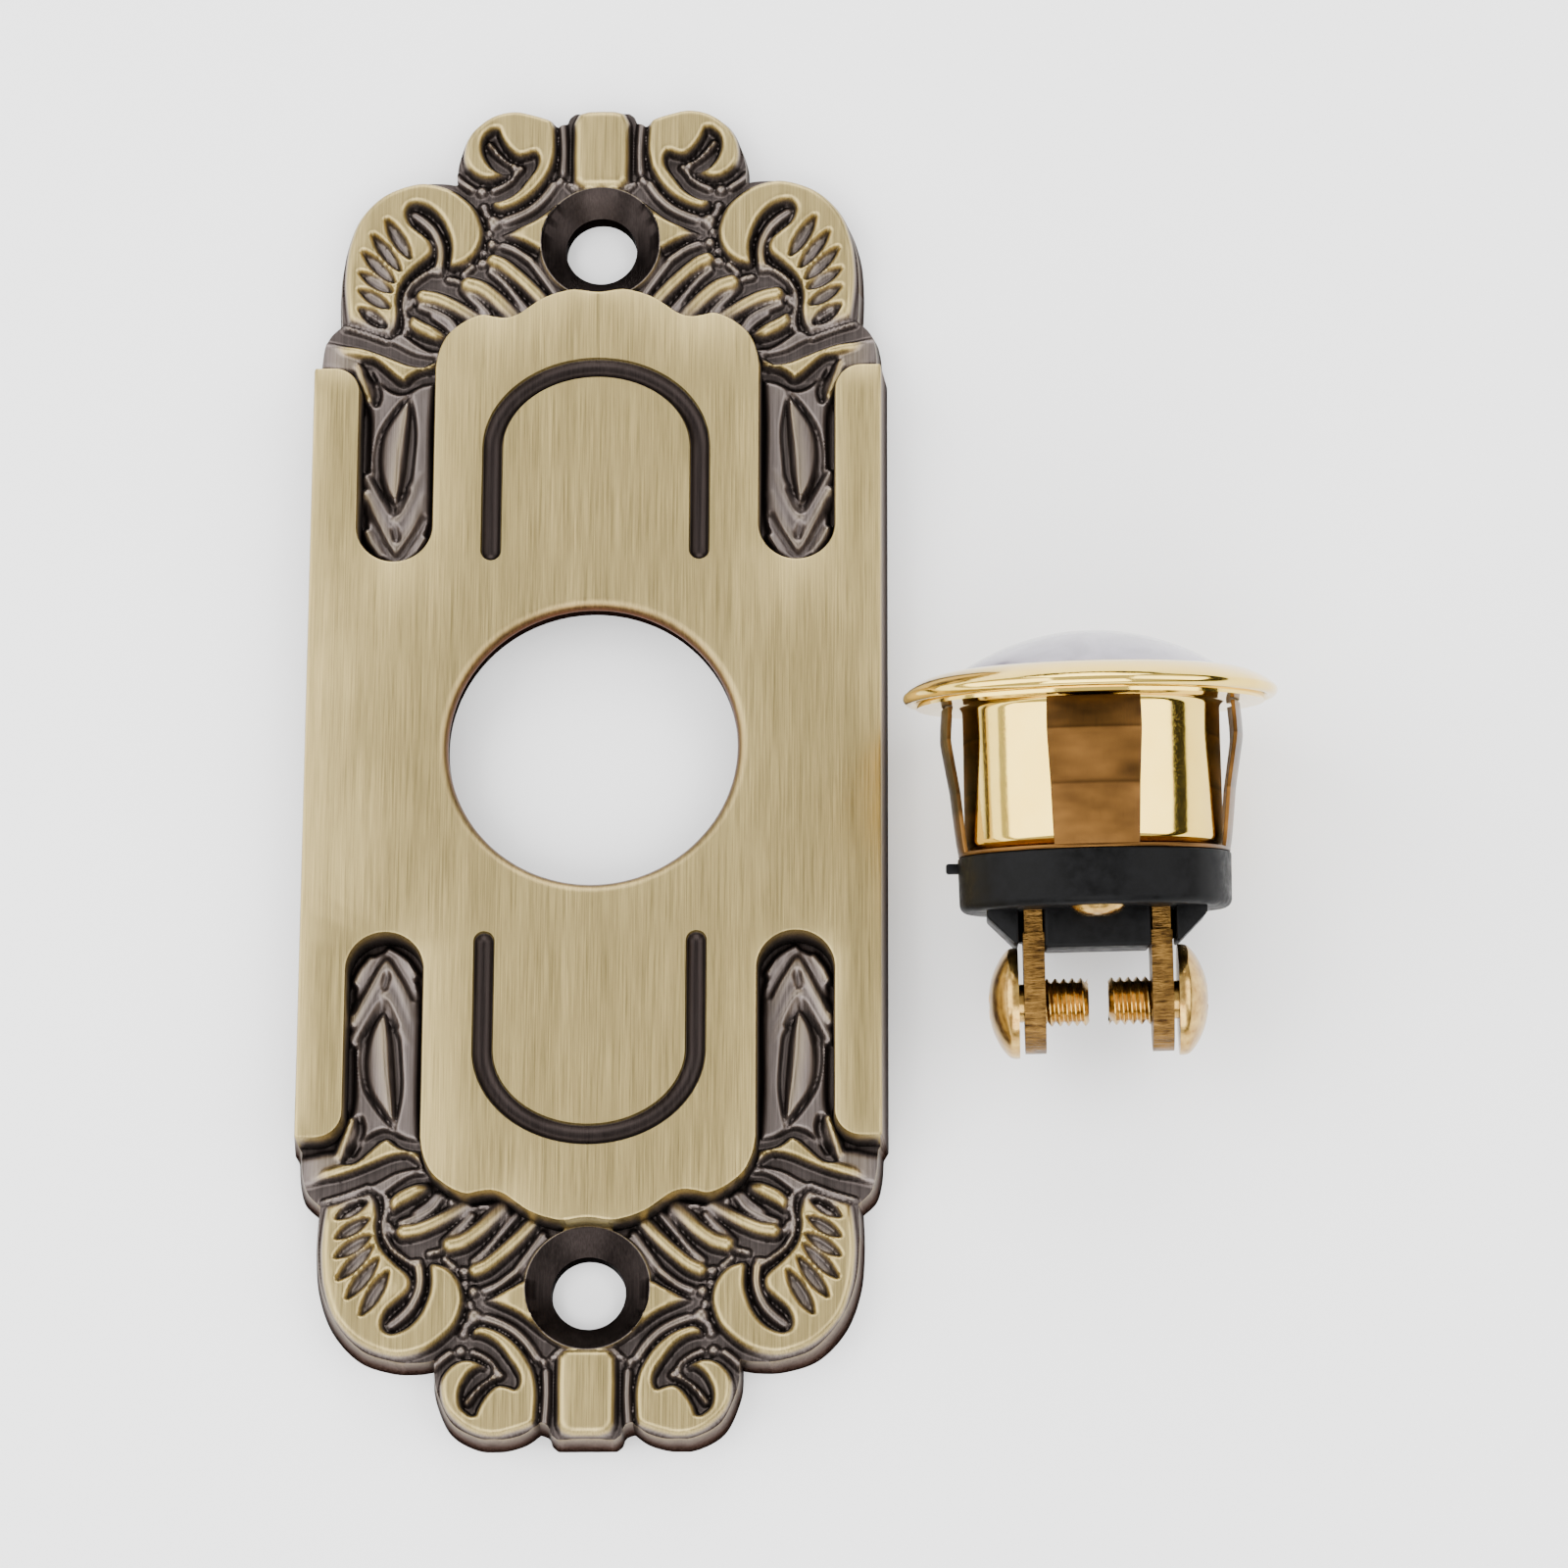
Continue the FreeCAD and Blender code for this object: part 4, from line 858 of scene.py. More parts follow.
def groove_path():
    """The U groove's middle line: a flattened arch and a straight leg."""
    arch = np.radians(np.linspace(90, 0, 60))
    top = np.stack([GROOVE_X * np.cos(arch), GROOVE_TOP + 7.4 * np.sin(arch)], 1)
    return np.concatenate([top, drawn([(GROOVE_X, GROOVE_TOP), (GROOVE_X, GROOVE_END)], step=0.5)[1:]])


def beside(path, gap):
    """The line at a distance from a path: positive to its left."""
    way = np.gradient(path, axis=0)
    way /= np.hypot(*way.T)[:, None]
    return path + gap * np.stack([-way[:, 1], way[:, 0]], 1)


def rows_to_mesh(name, points, faces):
    """A new piece from rows of points and faces."""
    mesh = bpy.data.meshes.new(name)
    mesh.from_pydata([tuple(p) for p in points], [], [tuple(f) for f in faces])
    piece = bpy.data.objects.new(name, mesh)
    bpy.context.collection.objects.link(piece)
    return piece


def filled(border, lines, spots):
    """Triangles inside a border that keep to the given lines and pass through the given spots."""
    points, edges = [], []
    for line, shut in [(border, True)] + [(line, False) for line in lines]:
        first = len(points)
        points.extend(line)
        if shut:
            face = list(range(first, len(points)))
        else:
            edges.extend((k, k + 1) for k in range(first, len(points) - 1))
    points.extend(spots)
    vectors = [Vector((float(p[0]), float(p[1]))) for p in points]
    out = delaunay_2d_cdt(vectors, edges, [face], 0, 1e-4, False)
    place = np.array([tuple(v) for v in out[0]])
    faces = np.array(out[2])
    middle = place[faces].mean(axis=1)
    faces = faces[within(middle[:, 0], middle[:, 1], np.array(border))]
    used, order = np.unique(faces, return_inverse=True)
    return place[used], order.reshape(faces.shape).tolist()


def trimmed(line):
    """Only the part of a line that lies over the quarter or just beside it."""
    return line[(line[:, 0] > -1.5) & (line[:, 0] < 27) & (line[:, 1] > -2)]


def sampled(field, x, y):
    """The height map's value at any place, between its cells."""
    u = np.clip((x - map_x[0]) / CELL, 0, map_x.size - 1.001)
    v = np.clip((y - map_y[0]) / CELL, 0, map_y.size - 1.001)
    c, r = u.astype(int), v.astype(int)
    a, b = u - c, v - r
    return ((field[r, c] * (1 - a) + field[r, c + 1] * a) * (1 - b)
            + (field[r + 1, c] * (1 - a) + field[r + 1, c + 1] * a) * b)


def rounded(gap, radius):
    """How far a rounded edge has dropped at a distance inside it."""
    return radius * (1 - round_edge(gap / radius))


def face_height(x, y, relief, flats, groove):
    """The face's height at each point, and how far inside the field's edge the point lies."""
    from_edge = depth_inside(x, y, flats)
    from_groove = line_distance(x, y, groove)[0]
    from_screw = np.hypot(x, y - SCREW_Y)
    face = FIELD_TOP - rounded(from_edge, FIELD_ROUND) - rounded(np.hypot(x, y) - HOLE_R, HOLE_ROUND)
    face -= rounded(EDGE_X - x, FIELD_ROUND)
    face -= np.clip(np.sqrt(np.clip(GROOVE_R ** 2 - from_groove ** 2, 0, None)) - 0.06, 0, None)
    ground = sampled(relief, x, y)
    ground = np.where(from_screw < SINK_R + 0.35, np.maximum(ground, SINK_TOP), ground)
    ground = np.where(from_screw < SINK_R, SINK_TOP - (SINK_R - from_screw), ground)
    share = np.clip((from_edge + FIELD_WALL) / FIELD_WALL, 0, 1)
    climb = ground * (1 - share) + (FIELD_TOP - FIELD_ROUND) * share
    return np.where(from_edge >= 0, face, climb), from_edge


def face_mesh(high_edge, flats, groove):
    """One quarter of the face seen from above: lines along every edge, a fine grid over the carving."""
    border = np.concatenate([
        high_edge, drawn([(0.0, EDGE_Y), (0.0, SCREW_Y + SCREW_R)])[1:],
        ring(0, SCREW_Y, SCREW_R, 90, -90)[1:], drawn([(0.0, SCREW_Y - SCREW_R), (0.0, HOLE_R)])[1:-1],
        ring(0, 0, HOLE_R, 90, 0)])
    border[0] = (EDGE_X, 0.0)
    border = np.concatenate([border, [((EDGE_X + HOLE_R) / 2, 0.0)]])
    lines = [flats] + [trimmed(beside(flats, gap)) for gap in (-FIELD_WALL, 0.09, FIELD_ROUND)]
    lines += [ring(0, 0, HOLE_R + gap, 0, 90) for gap in (0.06, 0.22, 0.45, 0.72, HOLE_ROUND)]
    lines += [ring(0, SCREW_Y, r, 90, -90) for r in (3.4, 4.2, 5.0, SINK_R, SINK_R + 0.12, SINK_R + 0.36)]
    for gap in (0.0, 0.3, 0.55, 0.72, 0.81, 0.9):
        lines.append(beside(groove, gap))
        if gap:
            lines.append(beside(groove, -gap))
            lines.append(ring(GROOVE_X, GROOVE_END, gap, 0, -180, 0.15))
    lines += [drawn([(EDGE_X - gap, 0.0), (EDGE_X - gap, 34.5)], step=3.0) for gap in (0.09, FIELD_ROUND)]
    rows = []
    for k, y in enumerate(np.arange(16.6, 59.6, PITCH * 0.87)):
        across = np.arange(0.04 + (k % 2) * PITCH / 2, 24.6, PITCH)
        rows.append(np.stack([across, np.full(across.size, y)], 1))
    spots = np.concatenate(rows)
    spots = spots[depth_inside(spots[:, 0], spots[:, 1], flats) < -FIELD_WALL - 0.07]
    spots = spots[np.hypot(spots[:, 0], spots[:, 1] - SCREW_Y) > SINK_R + 0.42]
    spots = spots[depth_inside(spots[:, 0], spots[:, 1], np.concatenate(
        [high_edge, [(-3.0, EDGE_Y), (-3.0, 0.0)]])) > 0.07]
    return filled(border, lines, spots)


def face_outline(x, y, faces):
    """The edges of the face's outline that a side hangs from, and the outline's points in order."""
    uses = {}
    for face in faces:
        for a, b in zip(face, face[1:] + face[:1]):
            uses[(min(a, b), max(a, b))] = uses.get((min(a, b), max(a, b)), 0) + 1
    rim = [edge for edge, count in uses.items() if count == 1]
    sides = [(a, b) for a, b in rim if not (max(x[a], x[b]) < 1e-3 or max(y[a], y[b]) < 1e-3)]
    beyond = {}
    for a, b in rim:
        beyond.setdefault(a, []).append(b)
        beyond.setdefault(b, []).append(a)
    walk = [rim[0][0]]
    came = None
    while True:
        ahead = [k for k in beyond[walk[-1]] if k != came][0]
        came = walk[-1]
        if ahead == walk[0]:
            return sides, walk
        walk.append(ahead)


def back_mesh(under, low_edge):
    """The back inside the feet of the sides: two levels of hollow, with a boss round the screw hole."""
    deep = np.concatenate([[(-9.0, -9.0), (12.9, -9.0), (12.9, 29.5)], ring(7.9, 29.5, 5.0, 0, 90)[1:],
                           [(-9.0, 34.5)]])
    shallow = np.concatenate([low_edge * np.array([HOLLOW_X / HALF_WIDE, HOLLOW_Y / HALF_LONG]),
                              [(-3.0, HOLLOW_Y), (-3.0, 0.0)]])
    step = 0.04
    lines = []
    for loop in (deep, shallow, ring(0, SCREW_Y, BOSS_R, 90, -90)):
        lines += [loop, beside(loop, step)]
    place, faces = filled(under, lines, [])
    x, y = place[:, 0], place[:, 1]
    in_deep = depth_inside(x, y, deep) > step / 2
    in_shallow = depth_inside(x, y, shallow) > step / 2
    on_boss = np.hypot(x, y - SCREW_Y) < BOSS_R + step / 2
    z = np.where(on_boss, 0.0, np.where(in_deep, DEEP_LEVEL, np.where(in_shallow, HOLLOW_LEVEL, 0.0)))
    z = np.where(np.hypot(x, y) < HOLE_R + 0.02, DEEP_LEVEL, z)
    return np.stack([x, y, z], 1), faces


def side_foot(x, y):
    """Where a side ends below a point of the face's outline."""
    if math.hypot(x, y) < HOLE_R + 0.05:
        return (x, y, DEEP_LEVEL)
    if math.hypot(x, y - SCREW_Y) < SCREW_R + 0.05:
        return (x, y, 0.0)
    return (x / (EDGE_X / HALF_WIDE), y / (EDGE_Y / HALF_LONG), 0.0)


def side_looks(x, y):
    """Tone, patina with painted shade, and burn at a side's two upper and two lower corners: darkest at its
    foot, where painted shade falls.
    """
    # the button hole's and screw holes' walls: near-black patina, deepened with painted shade
    if math.hypot(x, y) < HOLE_R + 0.05:
        return [(0.03, 0.7, 0.25)] * 4
    if math.hypot(x, y - SCREW_Y) < SCREW_R + 0.05:
        return [(0.0, 0.8, 0.0)] * 4
    # the outer sides: rubbed light at the top edge, darkening to the foot with patina and painted shade
    return [(0.75, 0.1, 0.15)] * 2 + [(0.12, 0.75, 0.4)] * 2


def face_looks(x, y, z, from_edge, relief, groove):
    """Tone (0 black, 1 rubbed bright), patina with painted shade (1 in a tight hollow) and burn (copper at
    the hole).
    """
    from_groove = line_distance(x, y, groove)[0]
    from_screw = np.hypot(x, y - SCREW_Y)
    carved = from_edge < -FIELD_WALL / 2
    tone = np.where(carved, 0.17 + 0.83 * ease(z, 2.85, 4.02), 1.0)
    tone = np.where(from_screw < SINK_R + 0.1, 0.02, tone)
    tone = np.where(from_groove < 0.8, 0.0, tone)
    # painted shade in tight hollows, as deep as a point lies below its surroundings, together with the
    # black patina there
    around = soften(relief, 0.45)
    patina_and_shade = 0.65 * np.clip((sampled(around, x, y) - sampled(relief, x, y)) / 0.3, 0, 1)
    # painted shadow along the foot of the field's wall
    painted_wall_shadow = 0.7 * np.exp(-(np.clip(-from_edge - FIELD_WALL, 0, None) / 0.3) ** 2)
    patina_and_shade = np.where(carved, np.maximum(patina_and_shade, painted_wall_shadow), 0.0)
    patina_and_shade = np.where(from_screw < SINK_R + 0.05, 0.4, patina_and_shade)
    patina_and_shade = np.where(from_groove < 0.7, 0.6, patina_and_shade)
    burn = np.clip(1.1 - (np.hypot(x, y) - HOLE_R) / 0.8, 0, 1) ** 1.5
    return tone, patina_and_shade, burn


def make_plate():
    """The whole casting: relief on its face, drafted sides, screw seats and a hollow back."""
    relief = carved_relief()
    flats = flats_outline()
    groove = groove_path()
    low_edge = silhouette()
    high_edge = low_edge * np.array([EDGE_X / HALF_WIDE, EDGE_Y / HALF_LONG])
    place, faces = face_mesh(high_edge, flats, groove)
    x, y = place[:, 0], place[:, 1]
    z, from_edge = face_height(x, y, relief, flats, groove)
    sides, walk = face_outline(x, y, faces)
    feet = {k: side_foot(x[k], y[k]) for k in {k for side in sides for k in side}}
    back, back_faces = back_mesh(np.array([feet[k][:2] for k in walk if k in feet]), low_edge)

    points = list(np.stack([x, y, z], 1))
    all_faces = [list(face) for face in faces]
    below = {}
    for k, foot in feet.items():
        below[k] = len(points)
        points.append(foot)
    for a, b in sides:
        all_faces.append([a, b, below[b], below[a]])
    base = len(points)
    points.extend(back)
    all_faces += [[base + k for k in face[::-1]] for face in back_faces]
    plate = rows_to_mesh("face_plate_casting", np.array(points) * MM, all_faces)

    looks = face_looks(x, y, z, from_edge, relief, groove)
    on_sides = np.array([side_looks(x[a], y[a]) for a, b in sides]).reshape(-1, 3)
    corners = np.array(faces).ravel()
    for name, values, beside_it, behind in zip(("tone", "patina_and_shade", "burn"), looks, on_sides.T,
                                               (0.25, 0.0, 0.0)):
        layer = plate.data.attributes.new(name, "FLOAT", "CORNER")
        layer.data.foreach_set("value", np.concatenate(
            [values[corners], beside_it, np.full(3 * len(back_faces), behind)]).astype(np.float32))

    welded = 0.004 * MM
    take(plate)
    bpy.ops.object.mode_set(mode="EDIT")
    bpy.ops.mesh.select_all(action="SELECT")
    bpy.ops.mesh.remove_doubles(threshold=welded)
    bpy.ops.mesh.normals_make_consistent(inside=False)
    bpy.ops.object.mode_set(mode="OBJECT")
    modify(plate, "MIRROR", use_axis=(True, True, False), use_mirror_merge=True, merge_threshold=welded)
    take(plate)
    bpy.ops.object.mode_set(mode="EDIT")
    bpy.ops.mesh.select_all(action="SELECT")
    bpy.ops.mesh.normals_make_consistent(inside=False)
    bpy.ops.object.mode_set(mode="OBJECT")
    smooth(plate, 40)
    return settle(plate, "frame", ANTIQUE, ["face_plate"], in_unit=False)


# The button unit, each piece modelled upright on its own axis

def make_bezel():
    """Spun bezel: inturned lip, convex brow, rolled rim."""
    brow = through([(11.36, 1.45), (11.38, 1.7), (11.65, 1.85), (12.4, 1.81), (13.4, 1.57), (14.4, 1.13),
                    (15.1, 0.68), (15.5, 0.32)], 5)
    rim = arc(15.07, 0.0, 0.55, 25, -190, 14)
    under = through([(14.55, 0.32), (14.2, 0.6), (13.3, 1.03), (12.4, 1.32), (11.5, 1.35),
                     (11.36, 1.45)], 4)
    bezel = lathe("bezel", brow + rim + under, 160)
    smooth(bezel, 40)
    return settle(bezel, "frame", BRASS_MIRROR, ["bezel_ring"])


def make_barrel():
    """Deep-drawn cup with a soft corner round its floor."""
    outer, bore, corner = 10.75, 10.25, 0.95
    floor = [(r, BARREL_LOW) for r in (0.4, 3.0, 6.0, 9.2)]
    bend = arc(outer - corner, BARREL_LOW + corner, corner, -90, 0, 8)
    side = [(outer, w) for w in (-9.5, -7.0, -4.5, -2.2, -1.5)]
    flare = arc(outer + 0.5, -1.4, 0.5, 180, 90, 4) + [(14.5, -0.9), (14.5, -0.4), (bore, -0.4)]
    inside = [(bore, w) for w in (-3.0, -7.0, -12.2)]
    inside += [(9.8, FLOOR_TOP), (0.4, FLOOR_TOP), (0.4, BARREL_LOW)]
    cup = lathe("barrel_cup", floor + bend + side + flare + inside, 160)
    smooth(cup, 40)
    return settle(cup, "frame", BRASS_MIRROR, ["barrel"])


def make_clip():
    """Stamped spring: a washer under the cup and four creased arms folded up round it."""
    thick, width, reach = 0.35, 7.8, 12.6
    outer = through([(11.35, BASE_TOP + thick), (11.5, -12.2), (11.72, -10.2), (11.93, -8.1)], 4)[:-1]
    outer += through([(11.93, -8.1), (12.25, -6.2), (12.56, -4.3), (12.63, -3.7)], 4)[:-1]
    outer += [(12.63, -3.6), (12.59, -2.6), (12.45, -1.02)]
    foot = [(9.2, BASE_TOP + 0.02), (10.6, BASE_TOP + 0.02), (11.1, BASE_TOP + 0.1)]
    inner = [(r - thick, w) for r, w in outer[::-1]]
    profile = foot + outer + inner + [(10.7, BASE_TOP + thick), (9.2, BASE_TOP + thick)]
    profile.append(profile[0])
    span = 2 * math.degrees(math.asin(width / 2 / reach))
    arms = []
    for index in range(4):
        arm = lathe("arm", profile, 14, span)
        middle = sum((v.co for v in arm.data.vertices), Vector()) / len(arm.data.vertices)
        arm.rotation_euler = (0, 0, math.radians(index * 90.0) - math.atan2(middle.y, middle.x))
        bpy.ops.object.transform_apply(location=True, rotation=True, scale=True)
        modify(arm, "BEVEL", width=0.05 * MM, segments=1, limit_method="ANGLE",
               angle_limit=math.radians(60))
        arms.append(arm)
    washer = lathe("washer", [(3.7, BASE_TOP), (10.9, BASE_TOP), (11.3, BASE_TOP + 0.06),
                              (11.36, BASE_TOP + 0.17), (11.3, BASE_TOP + thick),
                              (3.7, BASE_TOP + thick), (3.7, BASE_TOP)], 128)
    clip = joined("spring_clip", [washer] + arms)
    smooth(clip, 9)
    return settle(clip, "frame", BRONZE, ["snap_clip"])


def make_base():
    """Moulded base: drafted ring, boss with terminal notches, wings cut at 45 degrees, and a side nub."""
    disc = lathe("base_ring", [(0.0, BASE_TOP), (11.1, BASE_TOP)] + arc(11.2, BASE_TOP - 0.2, 0.2, 90, 0, 4)
                 + [(11.36, -16.0)] + arc(10.62, BASE_LOW + 0.72, 0.72, 0, -90, 8) + [(0.0, BASE_LOW)], 160)
    low = BASE_LOW - 3.2
    core = block("core", (-4.38, -5.0, low), (4.38, 5.0, BASE_LOW + 0.6), 0.28)
    back = block("web", (-6.5, 1.2, BASE_LOW - 2.4), (6.5, 4.7, BASE_LOW + 0.6), 0.2)
    wings = []
    for way in (-1, 1):
        inner, outer = sorted((way * 6.53, way * 9.1))
        wing = block("wing", (inner, -5.0, BASE_LOW - 2.8), (outer, 5.0, BASE_LOW + 0.6))
        take(wing)
        bpy.ops.object.mode_set(mode="EDIT")
        choose(wing, lambda e: all(abs(v.co.x - way * 9.1 * MM) < 1e-6 and v.co.z < BASE_LOW * MM
                                   for v in e.verts), "EDGE")
        bpy.ops.mesh.bevel(offset=2.25 * MM, segments=1)
        bpy.ops.object.mode_set(mode="OBJECT")
        modify(wing, "BEVEL", width=0.18 * MM, segments=2, limit_method="ANGLE")
        wings.append(wing)
    nub = block("nub", (-12.4, -0.6, -14.7), (-10.9, 0.6, -13.85), 0.2, 2)
    well = lathe("well", [(2.8, BASE_TOP - 0.3), (3.6, BASE_TOP - 0.3), (3.6, FLOOR_TOP + 0.5),
                          (2.8, FLOOR_TOP + 0.5), (2.8, BASE_TOP - 0.3)], 48)
    base = joined("moulded_base", [disc, core, back] + wings + [nub, well])
    smooth(base, 38)
    return settle(base, "frame", BLACK, ["base_moulding"])


def make_terminal(way, name):
    """Thick brass tab with a rounded end; its sheared faces look outwards to the front and back."""
    x = way * TAB_X
    half = TAB_THICK / 2
    low = BASE_LOW - TAB_REACH
    clear_choice()
    bpy.ops.mesh.primitive_cylinder_add(
        vertices=64, radius=TAB_R * MM, depth=TAB_THICK * MM,
        location=(x * MM, 0, (low + TAB_R) * MM), rotation=(0, math.pi / 2, 0))
    tab = named("tab")
    bpy.ops.object.transform_apply(location=True, rotation=True, scale=True)
    top = block("tab_top", (x - half, -TAB_R, low + TAB_R), (x + half, TAB_R, BASE_LOW - 1.9))
    neck = block("tab_neck", (x - 0.75, -4.05, BASE_LOW - 2.3), (x + 0.75, 4.05, BASE_LOW + 0.1))
    post = block("post", (x - 0.75, -2.5, BASE_LOW), (x + 0.75, 2.5, POST_TOP))
    modify(tab, "BOOLEAN", operation="UNION", solver="EXACT", object=top)
    take(top)
    bpy.ops.object.delete()
    modify(tab, "BEVEL", width=0.22 * MM, segments=3, limit_method="ANGLE", angle_limit=math.radians(50))
    tab = joined(name, [tab, neck, post])
    smooth(tab, 32)
    slot_name = "terminal_" + name.split("_")[-1]
    return settle(tab, "frame", STRIP, [slot_name])


def thread(length, pitch=0.7, major=2.0, minor=1.62):
    """One turn of a V ridge drawn at the start of the shank and wound up it."""
    clear_choice()
    bpy.ops.mesh.primitive_plane_add(size=MM, location=(0, 0, 0))
    ridge = named("thread")
    bpy.ops.object.mode_set(mode="EDIT")
    bpy.ops.mesh.merge(type="CENTER")
    bpy.ops.transform.translate(value=(minor * MM, 0, 0))
    for dr, dz in ((major - minor, pitch * 0.42), (0.0, pitch * 0.12), (minor - major, pitch * 0.42),
                   (0.0, pitch * 0.04)):
        bpy.ops.mesh.extrude_region_move(TRANSFORM_OT_translate={"value": (dr * MM, 0, dz * MM)})
    bpy.ops.object.mode_set(mode="OBJECT")
    turns = math.ceil(length / pitch) + 2
    modify(ridge, "SCREW", screw_offset=pitch * MM, iterations=turns, steps=48, render_steps=48,
           use_merge_vertices=True, merge_threshold=0.003 * MM)
    return ridge


def make_screw(way, name):
    """Truss-head screw: cross recess, thin neck under the head, V thread with a flat tip."""
    face = TAB_X + TAB_THICK / 2
    under = face + 0.45
    tip = TAB_X - TAB_THICK / 2 - 3.6 - under
    dome = through([(4.6, 0.0), (4.6, 0.45), (4.4, 0.92), (3.6, 1.56), (2.4, 2.13), (1.2, 2.42),
                    (0.02, 2.5)], 5)
    head = lathe("head", [(0.0, 0.0), (1.6, 0.0), (4.3, 0.0)] + dome, 96)
    for turn in (0.0, math.pi / 2):
        slot = block("cross", (-2.1, -0.42, 1.55), (2.1, 0.42, 3.2))
        take(slot)
        bpy.ops.object.mode_set(mode="EDIT")
        choose(slot, lambda f: f.normal.z < -0.9)
        bpy.ops.transform.resize(value=(0.45, 0.5, 1.0), center_override=(0, 0, 1.55 * MM))
        bpy.ops.object.mode_set(mode="OBJECT")
        slot.rotation_euler = (0, 0, turn + 0.5)
        bpy.ops.object.transform_apply(location=True, rotation=True, scale=True)
        cut_by(head, [slot])
    shank = lathe("shank", [(0.0, tip), (1.3, tip), (1.64, tip + 0.25), (1.64, -0.45), (1.6, -0.44),
                            (1.6, 0.05), (0.0, 0.05)], 48)
    ridge = thread(3.7)
    ridge.location = (0, 0, (tip - 0.4) * MM)
    take(ridge)
    bpy.ops.object.transform_apply(location=True, rotation=True, scale=True)
    bpy.ops.object.mode_set(mode="EDIT")
    for level, inner in ((tip + 0.06, True), (-0.5 - TAB_THICK, False)):
        bpy.ops.mesh.select_all(action="SELECT")
        bpy.ops.mesh.bisect(plane_co=(0, 0, level * MM), plane_no=(0, 0, 1), clear_inner=inner,
                            clear_outer=not inner, use_fill=False)
    bpy.ops.mesh.select_all(action="SELECT")
    bpy.ops.mesh.normals_make_consistent(inside=False)
    bpy.ops.object.mode_set(mode="OBJECT")
    screw = joined(name, [head, shank, ridge])
    smooth(screw, 34)
    turned = Matrix.Rotation(way * math.pi / 2, 4, "Y")
    lay = Matrix.Translation((way * under * MM, 0, SCREW_W * MM)) @ turned
    slot_name = "terminal_screw_" + name.split("_")[-1]
    return settle(screw, "frame", TURNED, [slot_name], lay)


def make_rivet(way, name):
    """Dome-headed rivet under the base ring."""
    low = BASE_LOW - 0.9
    crown = through([(0.0, low), (1.1, low + 0.09), (1.85, low + 0.4), (2.25, BASE_LOW - 0.02)], 5)
    rivet = lathe(name, crown + [(1.1, BASE_LOW), (1.1, FLOOR_TOP), (1.7, FLOOR_TOP),
                                 (1.5, FLOOR_TOP + 0.6), (0.0, FLOOR_TOP + 0.6)], 64)
    smooth(rivet, 40)
    return settle(rivet, "frame", TURNED, [name], Matrix.Translation((0, way * 8.1 * MM, 0)))


def make_cap():
    """Push cap: one even dome down to the bezel's lip, with its flange and skirt below."""
    edge = 1.95
    top = 5.35
    ball = (CAP_R ** 2 + (top - edge) ** 2) / (2 * (top - edge))
    half = math.degrees(math.asin(CAP_R / ball))
    crown = arc(0.0, top - ball, ball, 90, 90 - half, 28)
    crown[0] = (0.0, top)
    low = [(CAP_R, 1.6), (CAP_R, 1.3), (12.15, 1.3), (12.15, 0.75), (9.95, 0.75), (9.95, -3.0),
           (8.65, -3.0), (8.65, 0.65), (1.9, 3.6), (1.9, DISC_TOP), (0.85, DISC_TOP),
           (0.85, DISC_TOP + 2.25), (0.0, DISC_TOP + 2.25)]
    cap = lathe("push_dome", crown + low, 160)
    smooth(cap, 40)
    return settle(cap, "button", PEARL, ["push_cap"])


make_plate()
make_bezel()
make_barrel()
make_clip()
make_base()
make_terminal(-1, "tab_left")
make_terminal(1, "tab_right")
make_screw(-1, "screw_left")
make_screw(1, "screw_right")
make_rivet(-1, "rivet_front")
make_rivet(1, "rivet_back")
make_cap()

for node, given in (("contact_disc", STRIP), ("contact_pin", TURNED), ("return_spring", WIRE)):
    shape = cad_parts[node].data
    shape.materials.clear()
    shape.materials.append(given)


# Table, light and camera

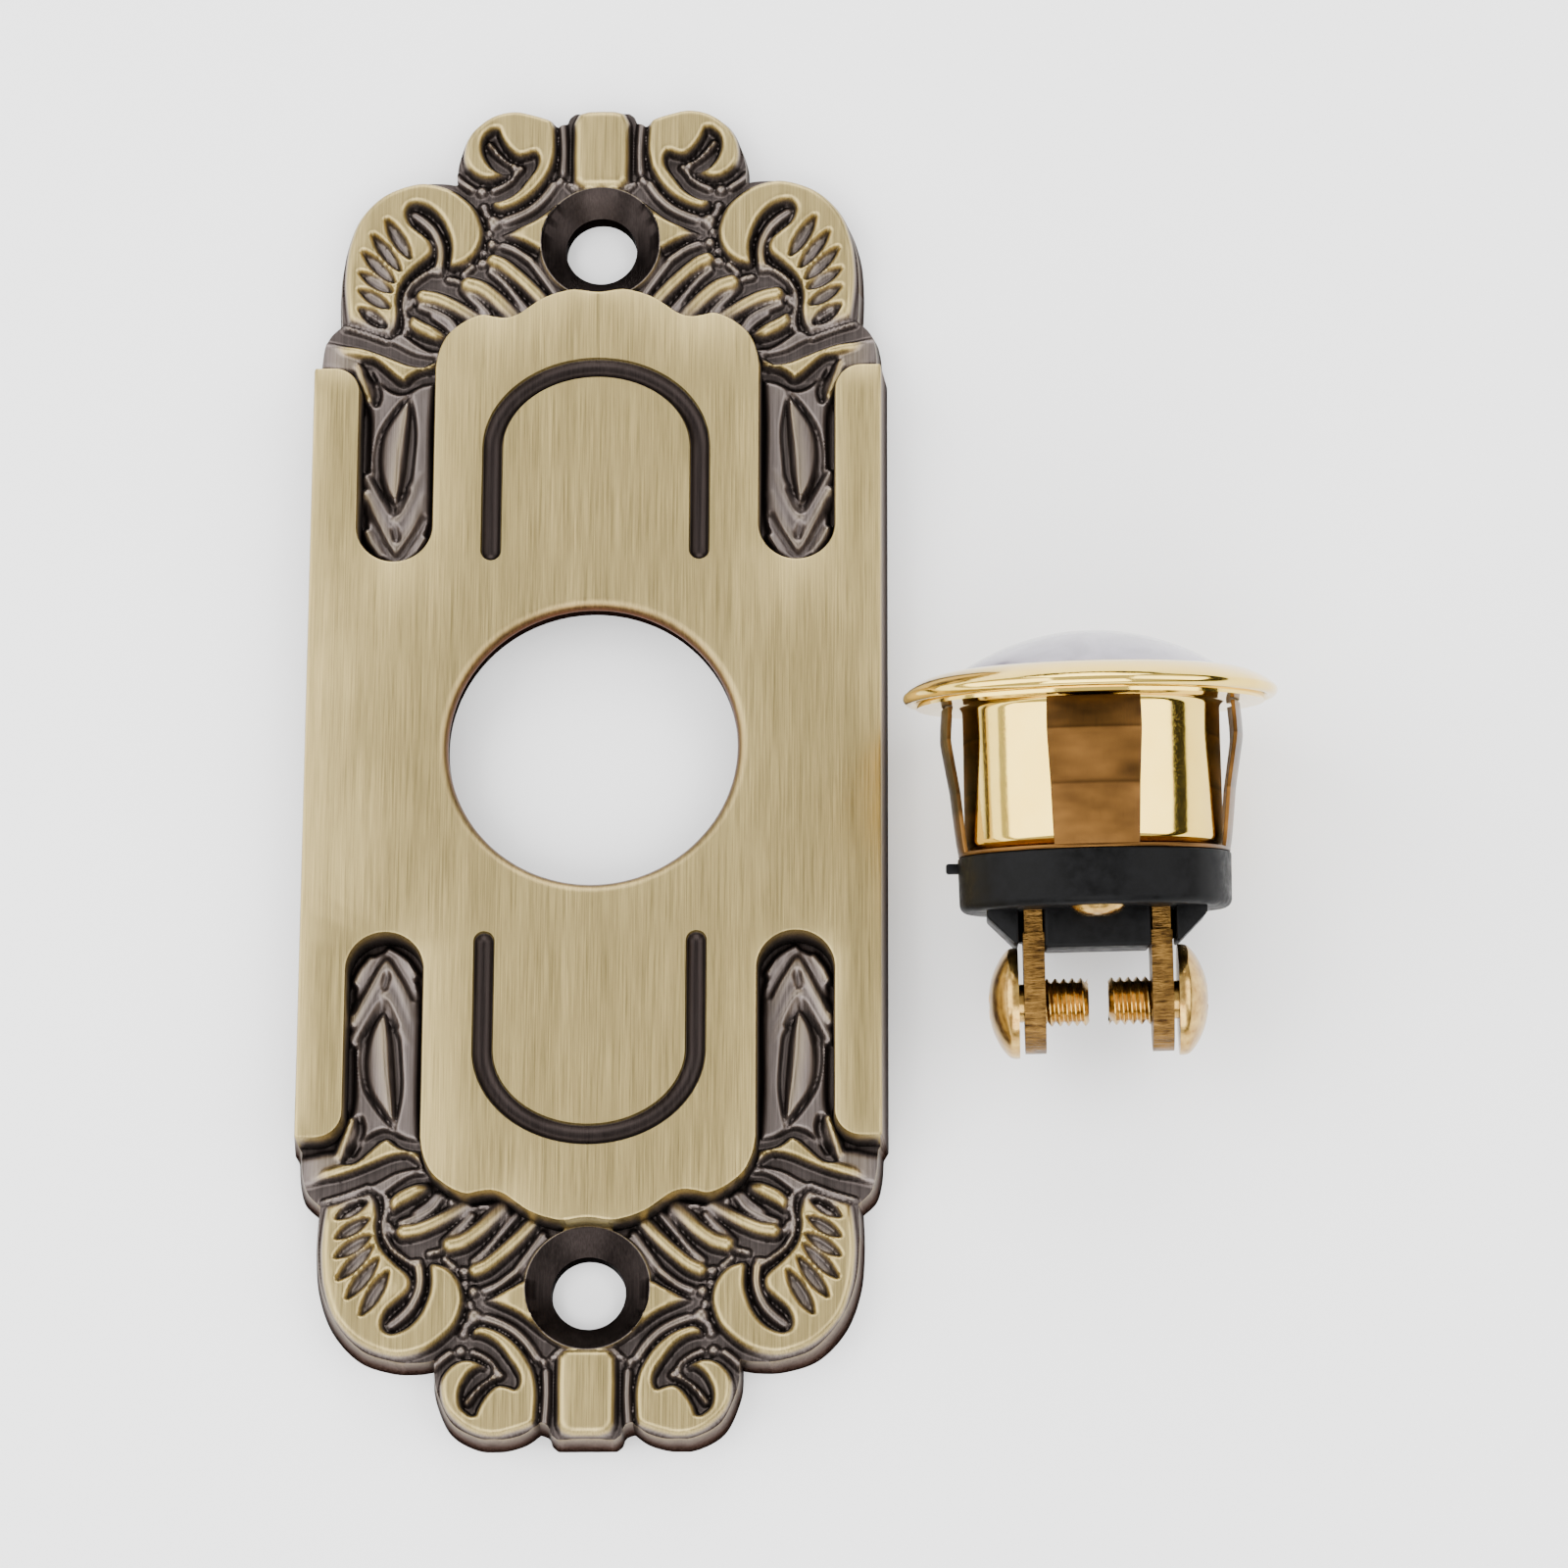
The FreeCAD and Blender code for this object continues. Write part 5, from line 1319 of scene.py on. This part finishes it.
def stage_set():
    """A white table under four soft lights in a pale room."""
    clear_choice()
    bpy.ops.mesh.primitive_plane_add(size=4.0, location=(0, 0, -0.02 * MM))
    table = named("table")
    laminate = finish("white_laminate_table", {"Base Color": linear("#F6F6F6"), "Roughness": 0.6})[0]
    table.data.materials.append(laminate)
    for name, place, size, power in (
            ("softbox_left", (-0.62, 0.0, 0.5), 0.9, 12.0),
            ("softbox_right", (0.75, 0.0, 0.62), 0.85, 10.0),
            ("softbox_front", (0.0, -0.9, 0.75), 1.0, 19.0),
            ("softbox_back", (0.0, 0.95, 0.5), 0.8, 12.0)):
        light = bpy.data.lights.new(name, "AREA")
        light.shape = "SQUARE"
        light.size = size
        light.energy = power
        holder = bpy.data.objects.new(name, light)
        bpy.context.collection.objects.link(holder)
        holder.location = place
        holder.rotation_euler = (Vector((0.016, 0, 0)) - Vector(place)).to_track_quat("-Z", "Y").to_euler()
    # a pale room, with the dark gap that the barrel mirrors low on the right
    world = bpy.data.worlds.new("studio")
    bpy.context.scene.world = world
    world.use_nodes = True
    tree = world.node_tree
    tree.nodes.clear()
    way = add(tree, "ShaderNodeTexCoord")
    split = add(tree, "ShaderNodeSeparateXYZ", links={"Vector": way.outputs["Generated"]})
    raised = add(tree, "ShaderNodeMath", {"operation": "ADD", 1: 0.1}, {0: split.outputs["Z"]})
    place = add(tree, "ShaderNodeMath", {"operation": "MULTIPLY_ADD", 1: -0.14},
                {0: split.outputs["X"], 2: raised.outputs[0]})
    ramp = add(tree, "ShaderNodeValToRGB",
               {"stops": ((0.18, (0.035, 0.035, 0.035, 1)), (0.25, (0.9, 0.9, 0.91, 1)))},
               {"Fac": place.outputs[0]})
    sky = add(tree, "ShaderNodeBackground", {"Strength": 1.1}, {"Color": ramp.outputs[0]})
    add(tree, "ShaderNodeOutputWorld", links={"Surface": sky.outputs[0]})


def camera_set():
    """The photograph's view: 72 degrees above the table through a long lens."""
    lens = bpy.data.cameras.new("camera")
    lens.sensor_width = 36.0
    lens.lens = 152.54
    lens.clip_start = 0.01
    lens.clip_end = 20.0
    camera = bpy.data.objects.new("camera", lens)
    bpy.context.collection.objects.link(camera)
    right = Vector((0.999533, 0.002991, -0.030407))
    up = Vector((0.006594, 0.950630, 0.310257))
    back = right.cross(up)
    turn = Matrix((right, up, back)).transposed()
    camera.matrix_world = Matrix.Translation(Vector((33.065, -178.305, 540.520)) * MM) @ turn.to_4x4()
    bpy.context.scene.camera = camera


stage_set()
camera_set()
